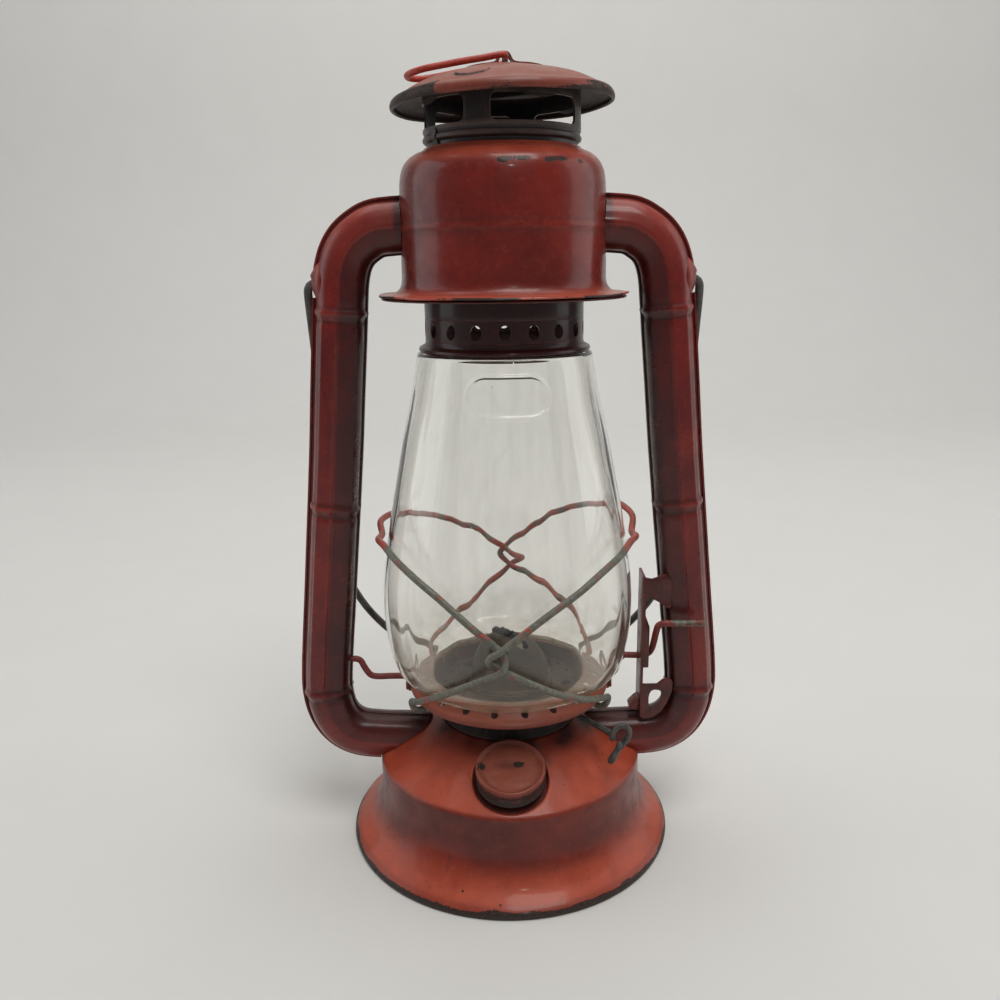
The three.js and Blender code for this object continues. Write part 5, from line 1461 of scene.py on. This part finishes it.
def build_top():
    fine_o = refine(cap_o, 0.55, closed=False)
    coarse_i = refine(arr(cap_i), 2.2, closed=False)
    th = np.sort(np.r_[np.linspace(rad(-132), rad(-84), 110, endpoint=False), np.linspace(rad(-84), rad(228), 150, endpoint=False)])
    V, F = lathe(np.vstack([fine_o, coarse_i]), len(th), th)
    r = np.hypot(V[:, 0], V[:, 1])
    a = np.arctan2(V[:, 1], V[:, 0])
    V[:, 2] += wobble(V * arr([1, 1, 0]), 15, 0.25, 4.0) * sstep(41, 30, r)
    # hammered flats of the old rim
    V[:, 2] += sstep(37, 40, r) * 0.22 * np.sin(a * 5 + 0.6) * np.sin(a * 2)
    # shallow oval pad pressed up in the sheet, front left
    e = oval_dist(V)
    V[:, 2] += 0.5 * sstep(0.45, -0.1, e) * (V[:, 2] > 290)
    return tilt_cap((V, F))


def top_chip(v):
    v = moved((v, None), CAP_TILT.inverted())[0]
    r = np.hypot(v[:, 0], v[:, 1])
    a = np.degrees(np.arctan2(v[:, 1], v[:, 0]))
    # a long bare stretch on the front left of the rim, dark bare patches elsewhere on the rim and lip, and the whole
    # underside dark
    left = sstep(-171, -164, a) * sstep(-123, -124.5, a) * sstep(36.4, 37.6, r) * 0.95
    wrap = sstep(150, 170, a) * sstep(37.4, 38.6, r) * 0.6
    right = sstep(-60, -40, a) * sstep(20, -20, a) * sstep(39.2, 40.2, r) * 0.4
    lip = sstep(295.2, 293.9, v[:, 2]) * 0.3
    zo = np.interp(r, cap_o[:, 0], cap_o[:, 1])
    # the whole underside of the cap takes the dark under-colour
    inside = np.where((v[:, 2] < zo - 0.62) & (r < 39.9), 0.95, 0.0)
    pad = 0.55 * np.exp(-(((oval_dist(v) - 0.25) / 0.3) ** 2)) * (a < -100)
    return left + wrap + right + lip + inside + pad


make("chimney_cap_v", build_top(), "enamel_cap", "chimney", ["chimney_cap"], chip=top_chip, tone=lambda v: 0.2 + 0 * v[:, 0], angle=45)

# bell over the globe's neck, with its row of air holes
bell_low = lathe(refine(fillet([[29.7, 203.7], [30.4, 203.7], [30.5, 205.6], [31.6, 205.75], [32.6, 206.0], [33.15, 206.9], [32.9, 207.7], [31.8, 208.3], [30.9, 208.7], [30.5, 209.6], [30.5, 210.6], [29.75, 210.6]], 0.2), 1.5), 144)
bell_mid = band(30.5, 29.75, 210.6, 218.6, 18, 2.7, 214.6, phase=rad(10), ring_n=32, squash=0.8)
bell_top = lathe(refine(fillet([[29.75, 218.6], [30.5, 218.6], [30.5, 229.2], [30.1, 230.1], [28.1, 230.4], [28.1, 229.7], [29.6, 229.3]], 0.3), 2.0), 144)
# dark: a little darker all over, with painted shade growing towards the top, under the hood
make("globe_holder_bell_v", joined(bell_low, bell_mid, bell_top), "enamel_dark", "chimney", ["globe_holder_bell"], merge=0.01, angle=35, dark=lambda v: 0.25 + 0.45 * sstep(214, 222, v[:, 2]))

pts = [[29.8 * math.cos(a), 29.8 * math.sin(a), 231.6 + (a / (2 * math.pi * 3.5)) * (275.2 - 231.6)] for a in np.linspace(0, 2 * math.pi * 3.5, 260)]
spring = make("chimney_spring_v", tube(pts, 0.75, 8), "spring_wire", "frame", ["chimney_spring"])
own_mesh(spring)


def build_clip():
    """Thin strap with a raised round tunnel for the ring and an oval tab at each end."""
    line = catmull([[-15.4, 306.1], [-12, 306.75], [-8, 307.3], [-4.6, 307.75], [-3.1, 308.2], [-2.35, 309.3], [-1.5, 310.75], [0, 311.25], [1.5, 310.75], [2.35, 309.3], [3.1, 308.2], [4.6, 307.6], [8, 307.0], [12, 306.3], [15.4, 305.55]], 6)
    n = len(line)
    V, F = [], []
    ys = np.linspace(-1, 1, 13)
    for k in (0.36, -0.28):
        for i in range(n):
            x, z = line[i]
            ta = line[min(n - 1, i + 1)] - line[max(0, i - 1)]
            ta /= np.linalg.norm(ta)
            nx, nz2 = -ta[1], ta[0]
            e = max(0.0, (abs(x) - 9.4) / 6.0)
            half = 4.6 * math.sqrt(max(0.0, 1 - e * e)) if abs(x) > 9.4 else (3.2 + 1.4 * float(sstep(3.0, 9.4, abs(x))))
            half = max(half, 0.6)
            for y in ys:
                cr = 0.12 * (1 - y * y)
                V.append([1.5 + x + nx * (k + cr), y * half, z + nz2 * (k + cr)])
    m = len(ys)
    for k in (0, 1):
        o = k * n * m
        for i in range(n - 1):
            for j in range(m - 1):
                f = [o + i * m + j, o + i * m + j + 1, o + (i + 1) * m + j + 1, o + (i + 1) * m + j]
                F.append(f if k else f[::-1])
    o = n * m
    for i in range(n - 1):
        for j in (0, m - 1):
            F.append([i * m + j, (i + 1) * m + j, o + (i + 1) * m + j, o + i * m + j])
    for i in (0, n - 1):
        for j in range(m - 1):
            F.append([i * m + j, i * m + j + 1, o + i * m + j + 1, o + i * m + j])
    return arr(V), F


make("ring_clip_v", tilt_cap(build_clip()), "enamel_cap", "chimney", ["ring_clip"], chip=lambda v: 0.16 * sstep(8, 15, np.abs(v[:, 0])) + 0.3 * sstep(309.2, 310.6, v[:, 2]), tone=lambda v: 0.3 + 0 * v[:, 0], angle=50)

top = 309.6
drop = lambda x: top + (x - 1.5) * 0.155
loop = [[1.5, -6.6, top], [1.5, -3, top], [1.5, 3, top], [1.5, 6.6, top], [0.8, 8.2, drop(0.8)], [-1.1, 8.6, drop(-1.1)], [-8, 8.6, drop(-8)], [-14, 8.6, drop(-14)], [-20, 8.6, drop(-20)]]
for i in range(0, 9):
    a = rad(90 + i * 180 / 8)
    x = -25.4 + 8.6 * math.cos(a)
    loop.append([x, 8.6 * math.sin(a), drop(x)])
loop += [[-20, -8.6, drop(-20)], [-14, -8.6, drop(-14)], [-8, -8.6, drop(-8)], [-1.1, -8.6, drop(-1.1)], [0.8, -8.2, drop(0.8)]]
lp = spaced(catmull(loop, 10, closed=True), 0.6, closed=True)
lp = lp + arr([0, 0, 1]) * wobble(lp, 12, 0.25, 2.0)[:, None] * sstep(-2, -8, lp[:, 0])[:, None]


def ring_tone(v):
    """1 where the paint is left; the front leg has one long bare stretch."""
    bare = sstep(-27.5, -26.5, v[:, 0]) * sstep(-19.2, -20.0, v[:, 0]) * (v[:, 1] < 0)
    leg = 0.9 * sstep(0.2, 1.2, v[:, 0]) * sstep(-7.6, -6.4, v[:, 1])
    return np.clip(1 - bare - leg, 0, 1)


make("pull_ring_v", tube(lp, 1.15, 14, closed=True), "ring_wire", "pull_ring", ["pull_ring"], tone=ring_tone)

# ------------------------------------------------------------------ globe
G_OUT = [[34.3, 70.6], [37.2, 70.75], [39.8, 71.3], [43.2, 72.9], [46.6, 76.3], [48.6, 81], [49.9, 86.7], [50.8, 92.5], [51.15, 98], [51.3, 104.5], [51.15, 111], [50.5, 118.7], [49.4, 126.3], [47.2, 138.9], [44.8, 151.1], [42.4, 163.3], [40, 175.1], [37.3, 186.9], [36.2, 192.5], [35.5, 197.0], [34.7, 201.3], [34.0, 204.4]]
G_TOP = [[33.75, 205.2], [33.2, 205.65], [32.4, 205.65], [31.85, 205.2]]
G_IN = [[31.9, 204.2], [32.6, 201], [33.4, 196.6], [34.1, 192.2], [35.1, 186.5], [37.7, 174.9], [40.1, 162.9], [42.5, 150.8], [44.9, 138.5], [47.1, 126.1], [48.3, 118.4], [49.0, 110.8], [49.15, 104.4], [48.95, 98], [48.5, 92.6], [47.6, 87.2], [46.4, 81.8], [44.6, 77.6], [42, 75.1], [38.8, 73.5], [35.6, 72.9], [33.4, 72.4], [32.7, 71.5], [33.2, 70.8]]


def build_globe():
    o = catmull(G_OUT, 4)
    # dense rows where the oval panel is
    dense = np.arange(181, 203.2, 0.42)
    oz, orr = o[:, 1], o[:, 0]
    keep = o[(oz < 180.6) | (oz > 203.4)]
    mid = np.stack([np.interp(dense, oz, orr), dense], 1)
    outer_p = np.vstack([keep[keep[:, 1] < 181], mid, keep[keep[:, 1] > 203]])
    inner_p = catmull(G_IN, 3)
    prof = np.vstack([outer_p, G_TOP, inner_p])
    th = np.sort(np.r_[np.linspace(rad(-122), rad(-58), 130, endpoint=False), np.linspace(rad(-58), rad(90), 66, endpoint=False), np.linspace(rad(90), rad(105), 30, endpoint=False), np.linspace(rad(105), rad(238), 60, endpoint=False)])
    V, F = lathe(prof, len(th), th)
    n = len(th)
    is_out = np.zeros(len(V), bool)
    is_out[: len(outer_p) * n] = True
    a = np.arctan2(V[:, 1], V[:, 0])
    r = np.hypot(V[:, 0], V[:, 1])
    # embossed plain oval: a raised bead round a slightly raised field
    u = (a - rad(-89.0)) * 36.2
    w = (V[:, 2] - 192.6)
    hx, hz = 15.2, 7.2
    qx = np.maximum(np.abs(u) - (hx - hz), 0)
    d = np.hypot(qx, w * 1.0) - hz
    bead = 0.7 * np.exp(-((d / 0.6) ** 2)) + 0.12 * sstep(0.4, -0.6, d)
    bead = np.where(is_out & (np.abs(u) < 22) & (np.abs(w) < 11), bead, 0)
    # uneven blown wall: slow waves, and finer vertical ones
    slow = np.array([noise.noise(Vector((math.cos(t) * 2.3, math.sin(t) * 2.3, z / 60))) for t, z in zip(a, V[:, 2])])
    vert = np.array([noise.noise(Vector((math.cos(t) * 7.5, math.sin(t) * 7.5, z / 140 + 9))) for t, z in zip(a, V[:, 2])])
    wave = np.where(is_out, 0.12 * slow + 0.05 * vert, 0.26 * slow * -1 + 0.14 * vert)
    k = (bead + wave * sstep(70, 78, V[:, 2]) * sstep(206, 198, V[:, 2])) / r
    V[:, 0] *= 1 + k
    V[:, 1] *= 1 + k
    return V, F


make("globe_v", build_globe(), "globe_glass", "carriage", ["globe"], angle=80)


# ------------------------------------------------------------------ globe plate
def build_plate():
    rings = []
    P = [[18, 63.0], [30.5, 63.0], [31.2, 63.6], [33.1, 68.9], [33.7, 69.2], [35.6, 69.2], [36.2, 69.0], [38.6, 67.15], [38.95, 66.7], [39.0, 65.5], [39.4, 64.8], [40.2, 64.5], [41.3, 64.9], [41.85, 65.7], [41.7, 66.7], [41.1, 67.3], [40.1, 67.5], [39.4, 67.75], [36.3, 69.85], [35.6, 70.0], [33.0, 70.0], [32.5, 69.6], [30.6, 64.1], [30.2, 63.8], [18, 63.8]]
    V, F = lathe(refine(fillet(P, 0.2, 2), 1.6), 160)
    cuts = []
    for i in range(20):
        a = rad(i * 18 + 9)
        c = arr([37.5 * math.cos(a), 37.5 * math.sin(a), 0])
        cuts.append(moved(lathe([[0, 64], [1.45, 64], [1.45, 73], [0, 73]], 14), Matrix.Translation(Vector(c))))
    for i in range(8):
        a = rad(i * 45)
        c = arr([24.5 * math.cos(a), 24.5 * math.sin(a), 0])
        cuts.append(moved(lathe([[0, 60], [2.5, 60], [2.5, 67], [0, 67]], 18), Matrix.Translation(Vector(c))))
    for i in range(24):
        a = rad(i * 15 + 7.5)
        c = arr([27.8 * math.cos(a), 27.8 * math.sin(a), 0])
        cuts.append(moved(lathe([[0, 60], [0.9, 60], [0.9, 67], [0, 67]], 10), Matrix.Translation(Vector(c))))
    all_cut = joined(*cuts)
    V, F = boolean(V, F, [all_cut])
    parts = [(V, F)]
    pin = 76.35 - 8.15
    upc = 1.7
    for s in (1, -1):
        out = chaikin([[-5.5, 62.6], [13, 62.6], [13, 69], [11, 71.7], [-2.5, 71.7], [-5, 68.5]], 2, closed=True)
        slot_ = []
        for cy, cz, a0 in ((8.05, pin, 0), (0, pin, 90), (0, pin - 1.4, 180), (8.05, pin - 1.4, 270)):
            for i in range(6):
                a = rad(a0 + 90 * i / 5)
                slot_.append([cy + upc * math.cos(a), cz + upc * math.sin(a)])
        ear = plate_solid([list(p) for p in out], 42.65, 43.55, "x", holes=[slot_], bevel=0.18)
        ear = (ear[0] * arr([s, 1, 1]), ear[1])
        tb = chaikin([[39.9, -5.5], [43.2, -5.5], [43.2, 9], [39.9, 9]], 1, closed=True)
        tab = plate_solid([list(p) for p in tb], 63.75, 64.7, "z", bevel=0.15)
        tab = (tab[0] * arr([s, 1, 1]), tab[1])
        parts += [ear, tab]
    return joined(*parts)


def plate_tone(v):
    r = np.hypot(v[:, 0], v[:, 1])
    return 0.75 * sstep(36.5, 39.5, r) * sstep(0, -15, v[:, 1]) + 0.35 * sstep(39, 41, r)


def plate_chip(v):
    r = np.hypot(v[:, 0], v[:, 1])
    return 0.22 + 0.25 * sstep(36, 30, r) + 0.12 * sstep(37, 36, r)


make("globe_plate_v", build_plate(), "enamel_plate", "carriage", ["globe_plate"], tone=plate_tone, chip=lambda v: plate_chip(v) - 0.12, angle=40)


def hook(az, o=44.6):
    c, s = math.cos(rad(az)), math.sin(rad(az))
    return [[o * c, o * s, 66.2], [43.7 * c, 43.7 * s, 63.3], [41.2 * c, 41.2 * s, 61.9], [38.6 * c, 38.6 * s, 62.6], [37.4 * c, 37.4 * s, 64.6]]


LEFT_GUARD = hook(207)[::-1] + [
    [-36.6, -28.6, 70.6], [-27.0, -42.4, 79.8], [-14.5, -50.9, 88.6], [-7.4, -55.0, 93.4], [-4.2, -57.1, 95.6], [-1.6, -56.0, 98.6], [-2.3, -54.2, 101.6], [-5.0, -53.0, 104.4],
    [-13.7, -51.8, 111.7], [-24.7, -47.4, 120.7], [-34.2, -41, 126.8], [-42.5, -32, 131.6], [-47.6, -22.6, 134], [-50.9, -13.2, 133.6], [-50.6, -4, 133], [-52.3, 5.5, 135.3],
    [-50.4, 15, 135.4], [-47.6, 24, 134], [-41.4, 33.1, 131.6], [-33.2, 41.3, 128], [-22.3, 48.2, 122.4], [-13.1, 51.5, 117.4], [-4.2, 52.8, 111], [0, 52.9, 108.2], [5, 53.8, 105],
    [8.2, 55.2, 102.9], [7.6, 56, 101.4], [4.2, 56.8, 99.4], [0, 55.6, 96.9], [-4.2, 53, 94.2], [-18, 47.9, 84.4], [-30.4, 38.9, 75.4], [-37.4, 26.2, 69.8],
] + hook(146.5)
RIGHT_GUARD = hook(335)[::-1] + [
    [37.2, -27.4, 70.6], [29, -39.6, 76.4], [18.2, -47, 82.4], [8.1, -51.8, 89], [-1.2, -53.0, 94.2], [-4.2, -53.1, 95.9], [-7.3, -54.4, 98.6], [-7.0, -56.0, 101.4], [-4.2, -57.2, 103.8],
    [1.2, -55.6, 107.2], [13.3, -52.2, 115.4], [26.1, -46.9, 123], [34.2, -41.4, 128], [42.5, -32.4, 132], [47.6, -22.8, 134.4], [50.9, -13.4, 133.6], [50.6, -4.4, 132.6], [52.3, 5.8, 136.2],
    [50.3, 15.6, 137.6], [47.4, 24.4, 137.4], [44.2, 29.6, 135.8], [36.9, 38, 133.4], [27.1, 45.6, 129], [17.2, 50.4, 122.6], [8, 53.6, 114.6], [3.6, 55.6, 111], [0, 56.6, 108.2],
    [-2.7, 56.2, 105.4], [-2.2, 55.2, 103.6], [0.4, 53.9, 101.7], [4.2, 52.9, 99.5], [10.6, 51.9, 96.4], [24.5, 45.3, 87], [33.4, 36.6, 78.4], [38.6, 25.8, 70.6],
] + hook(27)
for nm, line in (("guard_wire_left", LEFT_GUARD), ("guard_wire_right", RIGHT_GUARD)):
    path = spaced(catmull(line, 12), 0.8)
    make(nm + "_v", tube(path, 1.33, 14), "guard_wire", "carriage", [nm], tone=lambda v: 0.25 * sstep(-12, 20, v[:, 1]) + 0.35 * sstep(40, 50, np.abs(v[:, 0])))

# ------------------------------------------------------------------ lift wires
PZ, AZ_ = 68.2, 76.35
LIFT = [[42.2, 0, PZ], [43.9, 0, PZ], [45.2, 0, PZ + 0.8], [46.4, 0, PZ + 4.0], [47.5, 0, AZ_ - 1.4], [49.2, 0, AZ_], [52, 0, AZ_], [57.2, 0, AZ_], [59.3, -0.5, AZ_ + 0.9], [60.35, -2.2, AZ_ + 3.2], [60.45, -7.5, 85.8], [60.45, -13.0, 93.2], [60.9, -14.7, 95.9], [62.6, -15.4, 97], [67, -15.4, 97], [74, -15.5, 97], [78.4, -15.4, 97]]
make("lift_wire_v", tube(spaced(catmull(LIFT, 12), 0.6), 1.35, 14), "lift_wire_mat", "lift_crank", ["lift_wire"], tone=lambda v: 1.0 * sstep(66.5, 60, v[:, 0]))
GUIDE = [[-42.2, 0, PZ], [-50, 0, PZ], [-57.0, 0, PZ], [-59.2, 0, PZ + 0.9], [-61.6, 0, PZ + 4.6], [-62.9, 0, AZ_ - 0.9], [-64.6, 0, AZ_], [-68.9, 0, AZ_]]
make("guide_wire_v", tube(spaced(catmull(GUIDE, 12), 0.6), 1.35, 14), "lift_wire_mat", "guide_crank", ["guide_wire"], tone=lambda v: 1.0 + 0 * v[:, 0])

# ------------------------------------------------------------------ lift bracket
flange_b = [[55.2, 53.2], [55.9, 51.4], [57.0, 50.9], [60.5, 51.3], [64.2, 54], [66.6, 58], [68.4, 62.8], [68.8, 67.4], [68.0, 69.0], [66.4, 69.4], [64.4, 68.9], [62.2, 66.9], [56.2, 66.9], [56.2, 74.4], [58.4, 74.4], [58.4, 92.6], [56.6, 97.6], [56.6, 104.6], [58.6, 105.2], [62, 103.4], [65.2, 100.8], [66.9, 101.2], [66.9, 112.4], [64.6, 115.4], [62.6, 115.5], [60.6, 114.2], [58.6, 113.6], [55.2, 114.4]]
dh = chaikin([[58.9, 55.2], [61.4, 55.9], [63.4, 58.4], [64.1, 61.6], [63.9, 64.1], [58.9, 64.1]], 2, closed=True)
face_b = plate_solid(flange_b, -8.6, -7.6, "y", holes=[[list(p) for p in dh]], bevel=0.22)
hole_b = [[1.75 * math.cos(rad(t)), AZ_ + 1.75 * math.sin(rad(t))] for t in range(0, 360, 18)]
web_o = [[-8.3, 52.8], [-7.6, 52.6], [2.8, 52.6], [3.6, 53.4], [3.6, 113.8], [2.8, 114.6], [-7.6, 114.6], [-8.3, 114.4]]
web_b = plate_solid(web_o, 55.2, 56.2, "x", holes=[hole_b], bevel=0.22)
tab_b = plate_solid([[55.6, 53.2], [51.3, 54], [51.1, 54.6], [51.6, 55.6], [54.2, 58.2], [55.6, 58.8]], -6, 1, "y", bevel=0.2)
make("lift_bracket_v", joined(face_b, web_b, tab_b), "enamel_dark", "frame", ["lift_bracket"], tone=lambda v: 0.15 + 0.35 * sstep(57, 55.4, v[:, 0]), chip=lambda v: 0.18 * sstep(56.4, 55.3, v[:, 0]), angle=35)

# ------------------------------------------------------------------ bail
BH, BA = 75.1, 116.0
half = [[70.9, 0], [71.8, 0], [73.3, 0.35], [74.4, 1.2], [74.95, 2.7], [BH, 5], [BH, 20], [BH, 40], [BH, 60], [BH, 80], [BH, 100], [BH, BA]]
bp = [[-x, 0, -s] for x, s in half]
for i in range(1, 24):
    a = math.pi * i / 24
    bp.append([-BH * math.cos(a), 0, -(BA + BH * math.sin(a))])
bp += [[x, 0, -s] for x, s in half[::-1]]
m = tube(spaced(catmull(bp, 10), 1.2), 1.65, 14)
make("bail_v", moved(m, Matrix.Translation((0, 0, BAIL_Z)) @ Matrix.Rotation(rad(15), 4, "X")), "black_wire_mat", "bail", ["bail"])

# ------------------------------------------------------------------ CAD nodes that stay
for n in ("wick_tube", "spur_wheel_a", "spur_wheel_b"):
    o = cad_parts[n]
    if o.data.materials:
        for i in range(len(o.data.materials)):
            o.data.materials[i] = MATERIALS["old_brass"]
    else:
        o.data.materials.append(MATERIALS["old_brass"])

# ------------------------------------------------------------------ stage, light, camera
def stage_mat(name, c):
    N = Nodes(name)
    a = N.noise(60, 3, 0.5)
    p = N.principled(Base_Color=N.mix(a, c, tuple(x * 0.95 for x in c)), Roughness=0.8)
    N.link(p.outputs[0], N.out.inputs[0])
    return N.mat


def add_stage():
    me = bpy.data.meshes.new("backdrop")
    prof = [(-1.6, 0.0), (0.9, 0.0)] + [(0.9 + 0.5 * math.sin(rad(a)), 0.5 - 0.5 * math.cos(rad(a))) for a in range(10, 91, 10)] + [(1.4, 2.6)]
    V, F = [], []
    for y, z in prof:
        V += [(-3.2, y, z), (3.2, y, z)]
    for i in range(len(prof) - 1):
        F.append((2 * i, 2 * i + 1, 2 * i + 3, 2 * i + 2))
    me.from_pydata(V, [], F)
    me.shade_smooth()
    o = bpy.data.objects.new("backdrop", me)
    me.materials.append(stage_mat("pale_paper", (0.73, 0.725, 0.7)))
    bpy.context.scene.collection.objects.link(o)


add_stage()


def area(name, loc, aim, size, power, color=(1, 1, 1), size_y=None):
    d = bpy.data.lights.new(name, "AREA")
    d.energy = power
    d.color = color
    d.shape = "RECTANGLE" if size_y else "SQUARE"
    d.size = size
    if size_y:
        d.size_y = size_y
    o = bpy.data.objects.new(name, d)
    o.location = loc
    o.rotation_euler = (Vector(aim) - Vector(loc)).to_track_quat("-Z", "Y").to_euler()
    bpy.context.scene.collection.objects.link(o)


area("key", (0.25, -0.55, 1.5), (0, 0, 0.15), 0.8, 11, (1, 0.975, 0.94))
area("left", (-1.7, 0.15, 0.75), (0, 0, 0.16), 1.3, 6.5, (0.98, 0.985, 1.0), 1.5)
area("right", (1.7, 0.25, 0.75), (0, 0, 0.16), 1.3, 6.5, (1, 0.98, 0.96), 1.5)
area("back", (0.0, 0.55, 1.5), (0, 1.1, 0.25), 1.4, 9, (1, 0.99, 0.97))
area("glint", (0.2, -1.1, 0.95), (0, 0, 0.2), 0.06, 0.55, (1, 0.98, 0.95))
w = bpy.data.worlds.new("w")
w.use_nodes = True
w.node_tree.nodes["Background"].inputs[0].default_value = (0.93, 0.95, 1.0, 1)
w.node_tree.nodes["Background"].inputs[1].default_value = 0.15
bpy.context.scene.world = w
bpy.context.scene.view_settings.view_transform = "Standard"

cam_d = bpy.data.cameras.new("cam")
cam_d.sensor_width = 36
cam_d.lens = 904.5 * 36 / 1000
cam_d.clip_start = 0.01
cam_d.clip_end = 50
cam = bpy.data.objects.new("cam", cam_d)
cam.location = (-0.0026, -0.355, 0.2406)
R = Matrix.Rotation(rad(75), 4, "X") @ Matrix.Rotation(rad(-0.82), 4, "Z")
cam.rotation_euler = R.to_euler()
bpy.context.scene.collection.objects.link(cam)
bpy.context.scene.camera = cam
